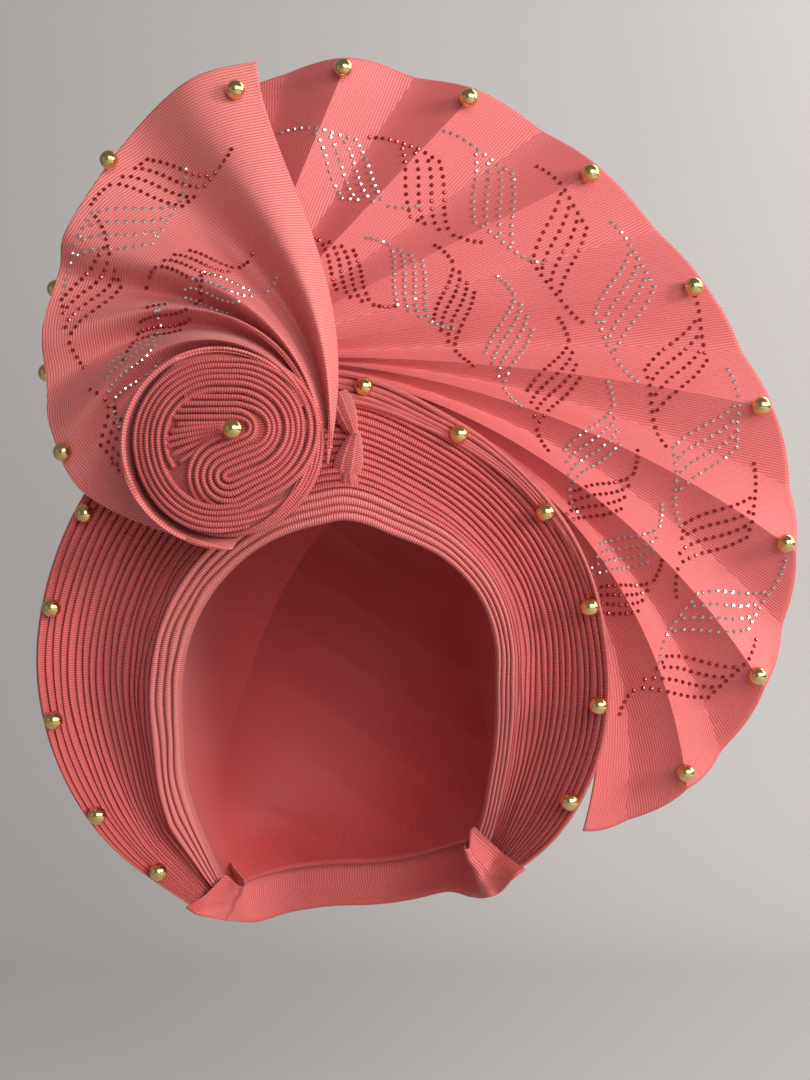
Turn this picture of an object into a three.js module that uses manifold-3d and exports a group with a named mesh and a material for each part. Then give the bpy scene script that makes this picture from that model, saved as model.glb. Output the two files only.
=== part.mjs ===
// A tied gele: a cap with a pleated brim, a folded fan, a swirl wound into a rosette, and gold beads.
// Millimetres. X to the viewer's right, Y away from the viewer, Z up.
// The origin is the crown point, where the top of the head touches the cap from inside.
import * as THREE from 'three';
import { mergeVertices } from 'three/addons/utils/BufferGeometryUtils.js';
import Module from 'manifold-3d';

const wasm = await Module();
wasm.setup();

// Clearance kept between neighbouring pieces
const gap = 0.3;

// Head form that the cap fits
const headHalfWidth = 80;
const headHalfDepth = 100;
const headHalfHeight = 105;
const headCentreBack = 5;
const headRoundness = 2.5;

// Cap
const crownWall = 2;
const crownInset = 2.5;
const crownRings = 7;
const napeBack = 75;
const napeDrop = 205;
const poleLean = 0.7;

// Face opening, seen from the front, and the folds round it
const faceRadius = 70;
const faceCentreDrop = 95;
const bandAhead = 78;
const bandWidth = 14;
const bandDepth = 12;
const bandFolds = 4;
const bandRise = 1.2;
const bandMostShare = 0.38;

// Brim
const brimReach = 130;
const brimWall = 3;
const brimPleats = 17;
const brimRise = 1.6;
const brimRimAhead = 46;
const brimStep = 4;
const brimDip = 16;
const brimDipPlace = 0.3;
const brimStations = 34;
const brimRoomSteps = 10;
const brimBackShares = [1, 0.8, 0.6, 0.4, 0.2, 0];

// Nape band
const napeWall = 2;
const napeHang = 22;
const napeTurnBack = 10;
const napeStations = 8;

// Rosette
const rosetteRadius = 37;
const rosetteHeightShare = 1.07;
const rosetteLeft = 52;
const rosetteRise = 9;
const rosetteAhead = 96;
const rosetteDome = 8;
const rosetteBack = 50;
const coilPitch = 3;
const coilRise = 1.9;
const coilRings = 5;
const innerFolds = 4;
const cutFolds = 3;
const rosetteSides = 32;

// Middle folds of the rosette, as shares of the radius that its rings leave free: the two centres
// that they turn round, and where their ends lie, with every second one set back by foldStagger
const foldCentres = [
  { x: 0.4, z: 0.27 },
  { x: -0.12, z: -0.44 },
];
const foldLeft = -0.78;
const foldStagger = -0.1;
const foldRight = 0.35;
const cutLeft = -0.84;
const cutMiddle = -0.3;
const cutRight = 0.1;

// Section of a middle fold: across is a share of half a pitch, and sink a share of coilRise
const foldSection = [
  { across: -0.96, sink: 1.15 },
  { across: -0.87, sink: 0.6 },
  { across: 0, sink: 0 },
  { across: 0.87, sink: 0.6 },
  { across: 0.96, sink: 1.15 },
];
const foldTurnSteps = 6;

// Swirl
const swirlReach = 178;
const swirlCore = 47;
const swirlAhead = 92;
const swirlWall = 1.5;
const swirlFold = 6;

// Fan
const fanReach = 296;
const fanWall = 1.5;
const fanFold = 11;
const fanHubLeft = 54;
const fanHubRise = 15;
const fanHubUp = brimReach - faceCentreDrop + fanHubRise;
const fanHubAhead = 44;
const fanHubRadius = 24;
const fanHubFoldShare = 0.2;

// Side tuck beside the rosette, sized by the brim's width and standing on the face band
const tuckLengthShare = 0.333;
const tuckWidthShare = 0.6;
const tuckLength = tuckLengthShare * (brimReach - faceRadius);
const tuckWidth = tuckWidthShare * tuckLength;
const tuckFoot = faceRadius + bandWidth - faceCentreDrop;
const tuckBulge = 2;
const tuckRise = 0.8;
const tuckRibs = 4;
const tuckTipShare = 0.35;
const tuckRows = [-1, -0.6, 0, 0.6, 1];

// Beads
const beadDiameter = 8.6;
const brimBeadInset = 5;
const fanBeadInset = 6.5;
const beadSides = 10;
const beadStacks = 4;
const seatRings = [0, 0.3, 0.55, 0.75, 0.9, 1];
const seatTurns = 12;
const rosetteBeadAcross = 0.2;
const rosetteBeadUp = 0.13;

// Sections of the face opening and brim, by angle from straight up, clockwise to the viewer.
// face is the opening's radius as a share of faceRadius, and width is how far the rim lies outside
// it, as a share of brimReach less faceRadius. band is how wide the folds round the face are, as a
// share of bandWidth. front and flare are how far ahead of the crown point the band and the rim
// lie, as shares of bandAhead and brimRimAhead.
// dip is the depth of the valley behind the band as a share of brimDip.
const brimSections = [
  { angle: -152, face: 1.80, width: 0.20, band: 1.00, front: -0.16, flare: -0.04, dip: 0.1 },
  { angle: -140, face: 1.56, width: 0.45, band: 1.00, front: 0.00, flare: 0.22, dip: 0.3 },
  { angle: -125, face: 1.35, width: 0.74, band: 1.00, front: 0.18, flare: 0.46, dip: 0.7 },
  { angle: -110, face: 1.18, width: 0.96, band: 1.00, front: 0.35, flare: 0.66, dip: 1.0 },
  { angle: -90, face: 1.08, width: 1.10, band: 1.00, front: 0.54, flare: 0.88, dip: 1.0 },
  { angle: -70, face: 1.03, width: 1.18, band: 1.00, front: 0.69, flare: 0.94, dip: 1.0 },
  { angle: -50, face: 1.00, width: 1.26, band: 1.00, front: 0.82, flare: 0.96, dip: 0.8 },
  { angle: -30, face: 0.99, width: 1.29, band: 1.00, front: 0.93, flare: 0.98, dip: 0.5 },
  { angle: -10, face: 0.99, width: 1.21, band: 1.00, front: 0.98, flare: 1.00, dip: 0.3 },
  { angle: 2, face: 1.01, width: 1.12, band: 1.00, front: 1.00, flare: 1.00, dip: 0.3 },
  { angle: 20, face: 0.97, width: 1.01, band: 0.90, front: 0.95, flare: 1.00, dip: 0.4 },
  { angle: 40, face: 1.00, width: 0.91, band: 0.75, front: 0.88, flare: 0.98, dip: 0.7 },
  { angle: 60, face: 1.02, width: 0.86, band: 0.65, front: 0.76, flare: 0.96, dip: 0.9 },
  { angle: 80, face: 1.01, width: 0.85, band: 0.60, front: 0.62, flare: 0.91, dip: 1.0 },
  { angle: 95, face: 1.01, width: 0.87, band: 0.60, front: 0.50, flare: 0.83, dip: 1.0 },
  { angle: 112, face: 1.09, width: 0.82, band: 0.60, front: 0.32, flare: 0.63, dip: 0.9 },
  { angle: 128, face: 1.24, width: 0.67, band: 0.60, front: 0.14, flare: 0.42, dip: 0.6 },
  { angle: 144, face: 1.50, width: 0.34, band: 0.60, front: -0.06, flare: 0.18, dip: 0.2 },
];

// Fold lines of the fan in turn, from its hidden first edge to its hidden last one.
// hubAngle and rimAngle are in degrees up from the viewer's right, round the hub. reach is a share
// of fanReach. bend is how late the line turns to its rim angle. ahead is how far the rim lies
// ahead of the crown point, as a share of fanHubAhead. fold is 1 on a ridge and -1 in a valley,
// and smaller on a shallow fold.
const fanLines = [
  { hubAngle: 96, rimAngle: 92, reach: 0.420, bend: 0.9, ahead: 0.40, fold: 0.0 },
  { hubAngle: 82, rimAngle: 80, reach: 0.470, bend: 0.9, ahead: 0.45, fold: -0.5 },
  { hubAngle: 69, rimAngle: 68.5, reach: 0.515, bend: 0.9, ahead: 0.60, fold: 1.0 },
  { hubAngle: 57, rimAngle: 57.5, reach: 0.540, bend: 0.9, ahead: 0.60, fold: -1.0 },
  { hubAngle: 48, rimAngle: 47.5, reach: 0.580, bend: 0.9, ahead: 0.62, fold: 1.0 },
  { hubAngle: 37, rimAngle: 37, reach: 0.615, bend: 0.9, ahead: 0.62, fold: -1.0 },
  { hubAngle: 28, rimAngle: 27.3, reach: 0.660, bend: 0.9, ahead: 0.63, fold: 1.0 },
  { hubAngle: 19, rimAngle: 17.5, reach: 0.705, bend: 0.9, ahead: 0.63, fold: -1.0 },
  { hubAngle: 10, rimAngle: 9, reach: 0.760, bend: 0.9, ahead: 0.63, fold: 1.0 },
  { hubAngle: 6, rimAngle: 1.5, reach: 0.808, bend: 0.9, ahead: 0.63, fold: -1.0 },
  { hubAngle: 3, rimAngle: -5, reach: 0.860, bend: 0.9, ahead: 0.62, fold: 1.0 },
  { hubAngle: 3, rimAngle: -12.3, reach: 0.905, bend: 0.9, ahead: 0.60, fold: -1.0 },
  { hubAngle: 2, rimAngle: -18.5, reach: 0.943, bend: 0.9, ahead: 0.56, fold: 1.0 },
  { hubAngle: 1, rimAngle: -25.2, reach: 0.968, bend: 0.9, ahead: 0.52, fold: -1.0 },
  { hubAngle: 0, rimAngle: -31.3, reach: 0.992, bend: 0.9, ahead: 0.46, fold: 1.0 },
  { hubAngle: -3, rimAngle: -38, reach: 0.995, bend: 1.1, ahead: 0.40, fold: -1.0 },
  { hubAngle: -6, rimAngle: -43, reach: 0.995, bend: 1.3, ahead: 0.34, fold: 1.0 },
  { hubAngle: -11, rimAngle: -49, reach: 0.965, bend: 1.7, ahead: 0.30, fold: -0.8 },
  { hubAngle: -17, rimAngle: -53, reach: 0.940, bend: 2.1, ahead: 0.28, fold: 0.0 },
];
const fanSteps = [0, 0.1, 0.22, 0.35, 0.48, 0.61, 0.74, 0.87, 1];

// Fold lines of the swirl in turn: its free flap edge, the flap's crest, the deep valley, three
// ridges with a valley after each, the round roll that hugs the rosette, and the tucked hem.
// Angles are in degrees up from the viewer's right, round the rosette. core and reach are the radii
// of the two ends as shares of swirlCore and swirlReach. climb is how late the line moves outward.
// ahead and rimAhead are how far the two ends lie ahead of the crown point, as shares of swirlAhead.
// fold is 1 on a ridge and -1 in a valley.
const swirlLines = [
  { from: -11, core: 1.01, to: 86, reach: 1.00, climb: 2.0, ahead: 0.90, rimAhead: 0.50, fold: 0.0 },
  { from: -2, core: 1.01, to: 96, reach: 0.95, climb: 2.0, ahead: 0.93, rimAhead: 0.50, fold: 0.8 },
  { from: 8, core: 0.99, to: 108, reach: 0.86, climb: 1.9, ahead: 0.88, rimAhead: 0.46, fold: -1.0 },
  { from: 12, core: 0.94, to: 126, reach: 0.705, climb: 1.8, ahead: 0.95, rimAhead: 0.48, fold: 1.0 },
  { from: 14, core: 0.92, to: 134, reach: 0.645, climb: 1.9, ahead: 0.94, rimAhead: 0.48, fold: -0.8 },
  { from: 16, core: 0.90, to: 148, reach: 0.565, climb: 1.5, ahead: 0.98, rimAhead: 0.50, fold: 0.9 },
  { from: 18, core: 0.885, to: 160, reach: 0.505, climb: 1.5, ahead: 0.97, rimAhead: 0.53, fold: -0.7 },
  { from: 20, core: 0.87, to: 175, reach: 0.450, climb: 2.0, ahead: 1.00, rimAhead: 0.57, fold: 0.9 },
  { from: 22, core: 0.86, to: 200, reach: 0.375, climb: 2.2, ahead: 0.96, rimAhead: 0.66, fold: -1.0 },
  { from: 24, core: 0.845, to: 256, reach: 0.268, climb: 1.6, ahead: 1.01, rimAhead: 0.97, fold: 0.5 },
  { from: 26, core: 0.825, to: 262, reach: 0.232, climb: 1.6, ahead: 0.92, rimAhead: 0.88, fold: 0.0 },
];

// How fast the fold lines sweep round and fall back, and the depth of a fold at its two ends and
// the place where it is deepest, as shares
const swirlSweep = 1.6;
const swirlEase = 2.2;
const swirlFoldStart = 0.25;
const swirlFoldPeak = 0.45;
const swirlFoldEnd = 0.7;
const swirlStepCount = 17;

// Leaves of the side tuck: x and z of the middle, z from tuckFoot, length and width as shares of
// tuckLength and tuckWidth, lean in degrees, and how far ahead the front lies as a share of bandAhead
const tuckLeaves = [
  { x: 0.05, z: 1.75, length: 1.1, width: 0.9, lean: 20, ahead: 0.80 },
  { x: 0.18, z: 0.8, length: 1.1, width: 1.0, lean: -14, ahead: 0.90 },
  { x: 0.16, z: 0.17, length: 0.45, width: 0.7, lean: 0, ahead: 0.95 },
];

// Beads on the swirl: place counts the fold lines above from 0, and share is the share of the way
// out to the rim. The beads at the back are half hidden by the rim.
const swirlBeads = [
  { place: 0.45, share: 0.95, side: 'front' },
  { place: 2.3, share: 0.995, side: 'front' },
  { place: 4.3, share: 1, side: 'back' },
  { place: 5.8, share: 1, side: 'back' },
  { place: 7.35, share: 0.97, side: 'front' },
];

// Beads on the brim, by their angle round the face opening
const brimBeadAngles = [-137, -120, -99, -77, -58, 4, 25.5, 51, 74.5, 97, 120];

// Material finishes
const clothColour = 0xdb6f68;
const bandColour = 0xe0807a;
const crownColour = 0xcd6560;
const goldColour = 0xd9a83f;

function cloth(colour) {
  return new THREE.MeshStandardMaterial({ color: colour, roughness: 0.8, metalness: 0 });
}

const gold = new THREE.MeshStandardMaterial({ color: goldColour, roughness: 0.22, metalness: 1 });

function radians(degrees) {
  return THREE.MathUtils.degToRad(degrees);
}

function lerp(a, b, t) {
  return a + (b - a) * t;
}

function vec(x, y, z) {
  return new THREE.Vector3(x, y, z);
}

// A table's row at any value of its key column, on smooth curves through its rows
function rowAt(table, key, value) {
  let i = 0;
  while (i < table.length - 2 && value > table[i + 1][key]) i += 1;
  const before = table[Math.max(i - 1, 0)];
  const from = table[i];
  const to = table[i + 1];
  const after = table[Math.min(i + 2, table.length - 1)];
  const span = to[key] - from[key];
  const t = (value - from[key]) / span;
  const row = {};
  for (const column of Object.keys(from)) {
    const slopeFrom = ((to[column] - before[column]) / (to[key] - before[key])) * span;
    const slopeTo = ((after[column] - from[column]) / (after[key] - from[key])) * span;
    const t2 = t * t;
    const t3 = t2 * t;
    row[column] = (2 * t3 - 3 * t2 + 1) * from[column] + (t3 - 2 * t2 + t) * slopeFrom
      + (3 * t2 - 2 * t3) * to[column] + (t3 - t2) * slopeTo;
  }
  return row;
}

// Triangles as one closed geometry, turned inside out if its volume comes out negative
function closedGeometry(points, triangles) {
  let volume = 0;
  for (const [a, b, c] of triangles) {
    volume += points[a].dot(points[b].clone().cross(points[c]));
  }
  const geometry = new THREE.BufferGeometry();
  const positions = points.flatMap((point) => [point.x, point.y, point.z]);
  const order = volume < 0 ? triangles.map(([a, b, c]) => [a, c, b]) : triangles;
  geometry.setAttribute('position', new THREE.Float32BufferAttribute(positions, 3));
  geometry.setIndex(order.flat());
  return geometry;
}

function twiceArea(a, b, c) {
  return (b.x - a.x) * (c.y - a.y) - (b.y - a.y) * (c.x - a.x);
}

// A flat cap over a ring of points that starts at base. forward keeps the ring's own direction.
function capEnd(triangles, outline, base, forward) {
  const ringTurns = Math.sign(THREE.ShapeUtils.area(outline));
  for (const [a, b, c] of THREE.ShapeUtils.triangulateShape(outline, [])) {
    const follows = Math.sign(twiceArea(outline[a], outline[b], outline[c])) === ringTurns;
    triangles.push(follows === forward ? [base + a, base + b, base + c] : [base + a, base + c, base + b]);
  }
}

// A solid lofted through rings of points. The rings join up when loop is true. Otherwise the two
// end rings are capped, using the flat outline that outlineOf gives for a ring's points.
function loft(rings, loop, outlineOf) {
  const size = rings[0].length;
  const points = rings.flat();
  const triangles = [];
  const last = loop ? rings.length : rings.length - 1;
  for (let i = 0; i < last; i += 1) {
    const next = (i + 1) % rings.length;
    for (let j = 0; j < size; j += 1) {
      const k = (j + 1) % size;
      const a = i * size + j;
      const b = i * size + k;
      const c = next * size + k;
      const d = next * size + j;
      triangles.push([a, b, c], [a, c, d]);
    }
  }
  if (!loop) {
    capEnd(triangles, outlineOf(rings[0]), 0, false);
    capEnd(triangles, outlineOf(rings[rings.length - 1]), (rings.length - 1) * size, true);
  }
  return closedGeometry(points, triangles);
}

// A wall between a front and a back grid of points, joined round its four edges
function wall(front, back) {
  const rows = front.length;
  const columns = front[0].length;
  const points = [...front.flat(), ...back.flat()];
  const far = rows * columns;
  const triangles = [];
  for (let i = 0; i < rows - 1; i += 1) {
    for (let j = 0; j < columns - 1; j += 1) {
      const a = i * columns + j;
      const b = a + 1;
      const c = a + columns + 1;
      const d = a + columns;
      triangles.push([a, b, c], [a, c, d], [far + a, far + c, far + b], [far + a, far + d, far + c]);
    }
  }
  const edge = [];
  for (let j = 0; j < columns - 1; j += 1) edge.push(j);
  for (let i = 0; i < rows - 1; i += 1) edge.push(i * columns + columns - 1);
  for (let j = columns - 1; j > 0; j -= 1) edge.push((rows - 1) * columns + j);
  for (let i = rows - 1; i > 0; i -= 1) edge.push(i * columns);
  edge.forEach((a, i) => {
    const b = edge[(i + 1) % edge.length];
    triangles.push([a, far + a, far + b], [a, far + b, b]);
  });
  return closedGeometry(points, triangles);
}

function toSolid(geometry) {
  const bare = geometry.clone();
  bare.deleteAttribute('normal');
  bare.deleteAttribute('uv');
  const merged = mergeVertices(bare, 1e-4);
  const mesh = new wasm.Mesh({
    numProp: 3,
    vertProperties: new Float32Array(merged.getAttribute('position').array),
    triVerts: new Uint32Array(merged.getIndex().array),
  });
  return new wasm.Manifold(mesh);
}

function toGeometry(solid) {
  const mesh = solid.getMesh();
  const geometry = new THREE.BufferGeometry();
  geometry.setAttribute('position', new THREE.BufferAttribute(mesh.vertProperties, 3));
  geometry.setIndex(new THREE.BufferAttribute(mesh.triVerts, 1));
  return geometry;
}

function largestBody(solid) {
  return solid.decompose().sort((a, b) => b.volume() - a.volume())[0];
}

// A piece once the room that its neighbours need has been cut from it, without loose crumbs
function fitted(geometry, neighbours) {
  let solid = toSolid(geometry);
  for (const neighbour of neighbours) solid = solid.subtract(toSolid(neighbour));
  const merged = toSolid(toGeometry(largestBody(solid)));
  return toGeometry(largestBody(merged));
}

function addPiece(group, name, geometry, material) {
  const mesh = new THREE.Mesh(geometry, material);
  mesh.name = name;
  group.add(mesh);
  return mesh;
}

// A point at an angle and radius round the centre of the face opening
function aroundFace(angle, radius, y) {
  const turn = radians(angle);
  return vec(radius * Math.sin(turn), y, radius * Math.cos(turn) - faceCentreDrop);
}

const firstAngle = brimSections[0].angle;
const lastAngle = brimSections[brimSections.length - 1].angle;

function stationAngle(i) {
  return lerp(firstAngle, lastAngle, i / brimStations);
}

// How far a room that is wider by grow turns its two end sections outward, in degrees
function endTurn(i, grow) {
  const turn = THREE.MathUtils.radToDeg(grow / faceRadius);
  if (i === 0) return -turn;
  return i === brimStations ? turn : 0;
}

// The sizes of one section of the face opening, band and brim
function stationAt(angle) {
  const row = rowAt(brimSections, 'angle', angle);
  const face = row.face * faceRadius;
  const rim = face + row.width * (brimReach - faceRadius);
  const width = Math.min(row.band * bandWidth, bandMostShare * (rim - face));
  return {
    angle,
    face,
    rim,
    width,
    front: -row.front * bandAhead,
    rimFront: -row.flare * brimRimAhead,
    dip: row.dip * brimDip,
  };
}

function flatOutline(ring) {
  return ring.map((point) => new THREE.Vector2(Math.hypot(point.x, point.z + faceCentreDrop), point.y));
}

// The folds round the face opening: ridges in front, flat behind
function bandGeometry(grow) {
  const rings = [];
  for (let i = 0; i <= brimStations; i += 1) {
    const at = stationAt(stationAngle(i));
    at.angle += endTurn(i, grow);
    const pitch = at.width / bandFolds;
    const ring = [];
    const valley = grow > 0 ? at.front : at.front + bandRise;
    for (let k = 0; k <= bandFolds; k += 1) {
      const r = at.face + k * pitch;
      const edge = k === 0 ? -grow : (k === bandFolds ? grow : 0);
      ring.push(aroundFace(at.angle, r + edge, valley - grow));
      if (k < bandFolds) ring.push(aroundFace(at.angle, r + pitch / 2, at.front - grow));
    }
    ring.push(aroundFace(at.angle, at.face + at.width + grow, at.front + bandDepth + grow));
    ring.push(aroundFace(at.angle, at.face - grow, at.front + bandDepth + grow));
    rings.push(ring);
  }
  return loft(rings, false, flatOutline);
}

// Front of the brim at a share u of the way from the band to the rim
function brimFront(at, u) {
  const inner = at.front + brimStep;
  const dipShare = u < brimDipPlace
    ? Math.sin((Math.PI / 2) * (u / brimDipPlace))
    : Math.cos((Math.PI / 2) * ((u - brimDipPlace) / (1 - brimDipPlace)));
  return lerp(inner, at.rimFront, u) + at.dip * dipShare;
}

function brimInner(at) {
  return at.face + at.width + gap;
}

// The brim: fine pleats in front, a smooth back. The room that its neighbours leave for it is
// thicker by grow and smooth in front.
function brimGeometry(grow) {
  const rings = [];
  for (let i = 0; i <= brimStations; i += 1) {
    const at = stationAt(stationAngle(i));
    at.angle += endTurn(i, grow);
    const inner = brimInner(at) - grow;
    const outer = at.rim + grow;
    const ring = [];
    const steps = grow > 0 ? brimRoomSteps : 2 * brimPleats;
    for (let k = 0; k <= steps; k += 1) {
      const u = k / steps;
      const rise = grow > 0 || k % 2 === 1 ? brimRise : 0;
      ring.push(aroundFace(at.angle, lerp(inner, outer, u), brimFront(at, u) - rise - grow));
    }
    for (const u of brimBackShares) {
      ring.push(aroundFace(at.angle, lerp(inner, outer, u), brimFront(at, u) + brimWall + grow));
    }
    rings.push(ring);
  }
  return loft(rings, false, flatOutline);
}

const headCentre = vec(0, headCentreBack, -headHalfHeight);

// The head form's radius in a direction from its centre
function headReach(direction) {
  const sum = Math.abs(direction.x / headHalfWidth) ** headRoundness
    + Math.abs(direction.y / headHalfDepth) ** headRoundness
    + Math.abs(direction.z / headHalfHeight) ** headRoundness;
  return sum ** (-1 / headRoundness);
}

// The rim of the cap, outside its inner face by a distance: behind the band round the face, then
// round the nape from right to left
function crownRim(outside) {
  const rim = [];
  for (let i = 0; i <= brimStations; i += 1) {
    const at = stationAt(stationAngle(i));
    rim.push(aroundFace(at.angle, at.face + crownInset + outside, at.front + bandDepth + gap));
  }
  const right = rim[rim.length - 1];
  const left = rim[0];
  for (let i = 1; i <= napeStations; i += 1) {
    const turn = (Math.PI * i) / (napeStations + 1);
    const side = Math.cos(turn) >= 0 ? right : left;
    const x = Math.abs(side.x) * Math.cos(turn);
    const y = lerp(side.y, napeBack + outside, Math.sin(turn));
    const z = lerp(side.z, -napeDrop, Math.sin(turn) ** 2);
    rim.push(vec(x, y, z));
  }
  return rim;
}

const pole = vec(0, poleLean, 1).normalize();

// A point on the cap, a share t of the way from a rim point to the pole. It ends outside the head
// form by grow.
function crownPoint(rimPoint, t, grow) {
  const start = rimPoint.clone().sub(headCentre);
  const direction = start.clone().normalize();
  const angle = direction.angleTo(pole);
  const turned = direction.clone().multiplyScalar(Math.sin((1 - t) * angle))
    .add(pole.clone().multiplyScalar(Math.sin(t * angle)))
    .normalize();
  const lift = start.length() - headReach(direction) - grow;
  const reach = headReach(turned) + grow + lift * (1 - t) ** 2;
  return headCentre.clone().add(turned.multiplyScalar(reach));
}

// The cap's wall between two distances outside the head form. early carries its rim a little
// further, as a share of the way to the pole.
function crownGeometry(inside, outside, early) {
  const points = [];
  const tips = [];
  const rings = [];
  for (const grow of [inside, outside]) {
    const rim = crownRim(grow);
    for (let k = 0; k < crownRings; k += 1) {
      const share = k === 0 ? -early : k / crownRings;
      rings.push(rim.map((point) => points.push(crownPoint(point, share, grow)) - 1));
    }
    tips.push(points.push(crownPoint(rim[0], 1, grow)) - 1);
  }
  const triangles = [];
  const join = (lower, upper) => lower.forEach((a, j) => {
    const k = (j + 1) % lower.length;
    triangles.push([a, lower[k], upper[k]], [a, upper[k], upper[j]]);
  });
  const close = (ring, tip) => ring.forEach((a, j) => {
    triangles.push([a, ring[(j + 1) % ring.length], tip]);
  });
  const flip = () => triangles.forEach((triangle) => triangle.reverse());
  for (let k = 0; k < crownRings - 1; k += 1) join(rings[k], rings[k + 1]);
  close(rings[crownRings - 1], tips[0]);
  flip();
  for (let k = 0; k < crownRings - 1; k += 1) {
    join(rings[crownRings + k], rings[crownRings + k + 1]);
  }
  close(rings[2 * crownRings - 1], tips[1]);
  join(rings[0], rings[crownRings]);
  return closedGeometry(points, triangles);
}

const napeShares = [0, 0.04, 0.08];

// Turned ends of the nape band. high and low are how far its two edges lie past the brim's end,
// in degrees, and back is how far behind the rim's front they lie, as a share of napeTurnBack.
const napeEnds = [
  { high: 1.5, low: 1.5, back: 0.5 },
  { high: 3, low: 9, back: 1 },
];

// One section of a turned end: its inner line, then its outer one
function napeEndSection(row, angle, side) {
  const at = stationAt(angle);
  const reaches = [at.rim, lerp(at.rim, at.face, 0.5), at.face + gap];
  return [0, -napeWall].map((out) => reaches.map((r, j) => {
    const past = lerp(row.low, row.high, j / 2);
    return aroundFace(angle + side * past, r, at.rimFront + row.back * napeTurnBack + out);
  }));
}

// The smooth strip round the neck: it hugs the cap behind, hangs below it, and turns out past the
// ends of the brim
function napeGeometry() {
  const layers = [crownWall + gap, crownWall + gap + napeWall].map((out) => {
    const rim = crownRim(out).slice(brimStations + 1);
    return rim.map((point) => [
      point.clone().add(vec(0, 0, -napeHang)),
      ...napeShares.map((t) => crownPoint(point, t, out)).slice(1),
    ]);
  });
  const hugging = layers[0].map((inner, i) => [inner, layers[1][i]]);
  const right = napeEnds.map((row) => napeEndSection(row, lastAngle, 1));
  const left = napeEnds.map((row) => napeEndSection(row, firstAngle, -1)).reverse();
  const rings = [...right, ...hugging, ...left].map(([inner, outer]) => [...inner, ...outer.reverse()]);
  const flat = rings[0].map((_, j) => new THREE.Vector2(j < 3 ? j : 5 - j, j < 3 ? 0 : 1));
  return loft(rings, false, () => flat);
}

// Turn and radius of the swirl round the rosette
function aroundRosette(angle, radius, y) {
  const turn = radians(angle);
  return vec(radius * Math.cos(turn) - rosetteLeft, y, radius * Math.sin(turn) + rosetteRise);
}

// Depth of a swirl fold a share b of the way along it
function swirlFoldShare(b) {
  const grown = Math.sin((Math.PI / 2) * Math.min(b / swirlFoldPeak, 1));
  const fading = THREE.MathUtils.smoothstep(b, swirlFoldPeak, 1);
  return lerp(swirlFoldStart, 1, grown) * lerp(1, swirlFoldEnd, fading);
}

function swirlLinePoint(line, b) {
  const inner = line.core * swirlCore;
  const outer = line.reach * swirlReach;
  const rho = b ** line.climb;
  const radius = lerp(inner, outer, rho);
  const angle = lerp(line.from, line.to, 1 - (1 - b) ** swirlSweep);
  const ease = (1 - Math.exp(-swirlEase * rho)) / (1 - Math.exp(-swirlEase));
  const y = -swirlAhead * lerp(line.ahead, line.rimAhead, ease);
  return aroundRosette(angle, radius, y - line.fold * swirlFold * swirlFoldShare(b));
}

// A point on the swirl at any place between its fold lines
function swirlPoint(place, b) {
  const lines = swirlLines.length;
  const i = Math.min(Math.floor(place), lines - 2);
  const t = place - i;
  const near = [i - 1, i, i + 1, i + 2].map((k) => {
    const line = swirlLines[Math.min(Math.max(k, 0), lines - 1)];
    return swirlLinePoint(line, b);
  });
  const weights = [
    (-t + 2 * t * t - t * t * t) / 2,
    (2 - 5 * t * t + 3 * t * t * t) / 2,
    (t + 4 * t * t - 3 * t * t * t) / 2,
    (-t * t + t * t * t) / 2,
  ];
  const point = vec(0, 0, 0);
  near.forEach((one, k) => point.addScaledVector(one, weights[k]));
  return point;
}

function swirlGeometry(grow) {
  const places = [];
  for (let k = 0; k <= 2 * (swirlLines.length - 1); k += 1) places.push(k / 2);
  const shares = [];
  for (let k = 0; k <= swirlStepCount; k += 1) shares.push(k / swirlStepCount);
  const layer = (y) => shares.map((b) => places.map((place) => swirlPoint(place, b).add(vec(0, y, 0))));
  return wall(layer(-grow), layer(swirlWall + grow));
}

// The rosette's front at a share of its radius
function rosetteFront(share) {
  return -rosetteAhead - rosetteDome * (1 - share * share);
}

function rosetteGeometry(grow, ringed) {
  const rows = [
    { r: rosetteRadius + grow, y: -rosetteBack },
    { r: rosetteRadius + grow, y: rosetteFront(1) + coilRise - grow },
  ];
  const rings = ringed ? coilRings : 1;
  for (let k = 0; k < rings; k += 1) {
    const ridge = rosetteRadius - (k + 0.5) * coilPitch;
    const valley = rosetteRadius - (k + 1) * coilPitch;
    rows.push({ r: ridge, y: rosetteFront(ridge / rosetteRadius) - grow });
    const sink = ringed ? coilRise : 0;
    rows.push({ r: valley, y: rosetteFront(valley / rosetteRadius) + sink - grow });
  }
  const points = [];
  const loops = rows.map(({ r, y }) => {
    const loop = [];
    for (let j = 0; j < rosetteSides; j += 1) {
      const turn = (2 * Math.PI * j) / rosetteSides;
      const x = r * Math.cos(turn) - rosetteLeft;
      const z = r * rosetteHeightShare * Math.sin(turn) + rosetteRise;
      loop.push(points.push(vec(x, y, z)) - 1);
    }
    return loop;
  });
  const backTip = points.push(vec(-rosetteLeft, -rosetteBack, rosetteRise)) - 1;
  const frontSink = ringed ? coilRise : 0;
  const frontTip = points.push(vec(-rosetteLeft, rosetteFront(0) + frontSink - grow, rosetteRise)) - 1;
  const triangles = [];
  loops.slice(1).forEach((upper, i) => loops[i].forEach((a, j) => {
    const k = (j + 1) % rosetteSides;
    triangles.push([a, loops[i][k], upper[k]], [a, upper[k], upper[j]]);
  }));
  const lastLoop = loops[loops.length - 1];
  for (let j = 0; j < rosetteSides; j += 1) {
    const k = (j + 1) % rosetteSides;
    triangles.push([loops[0][k], loops[0][j], backTip], [lastLoop[j], lastLoop[k], frontTip]);
  }
  return closedGeometry(points, triangles);
}

// A point on a circle in the rosette's plane, by centre, radius and angle in degrees
function onCircle(centre, radius, angle) {
  return new THREE.Vector2(
    centre.x + radius * Math.cos(radians(angle)),
    centre.y + radius * Math.sin(radians(angle)),
  );
}

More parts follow.
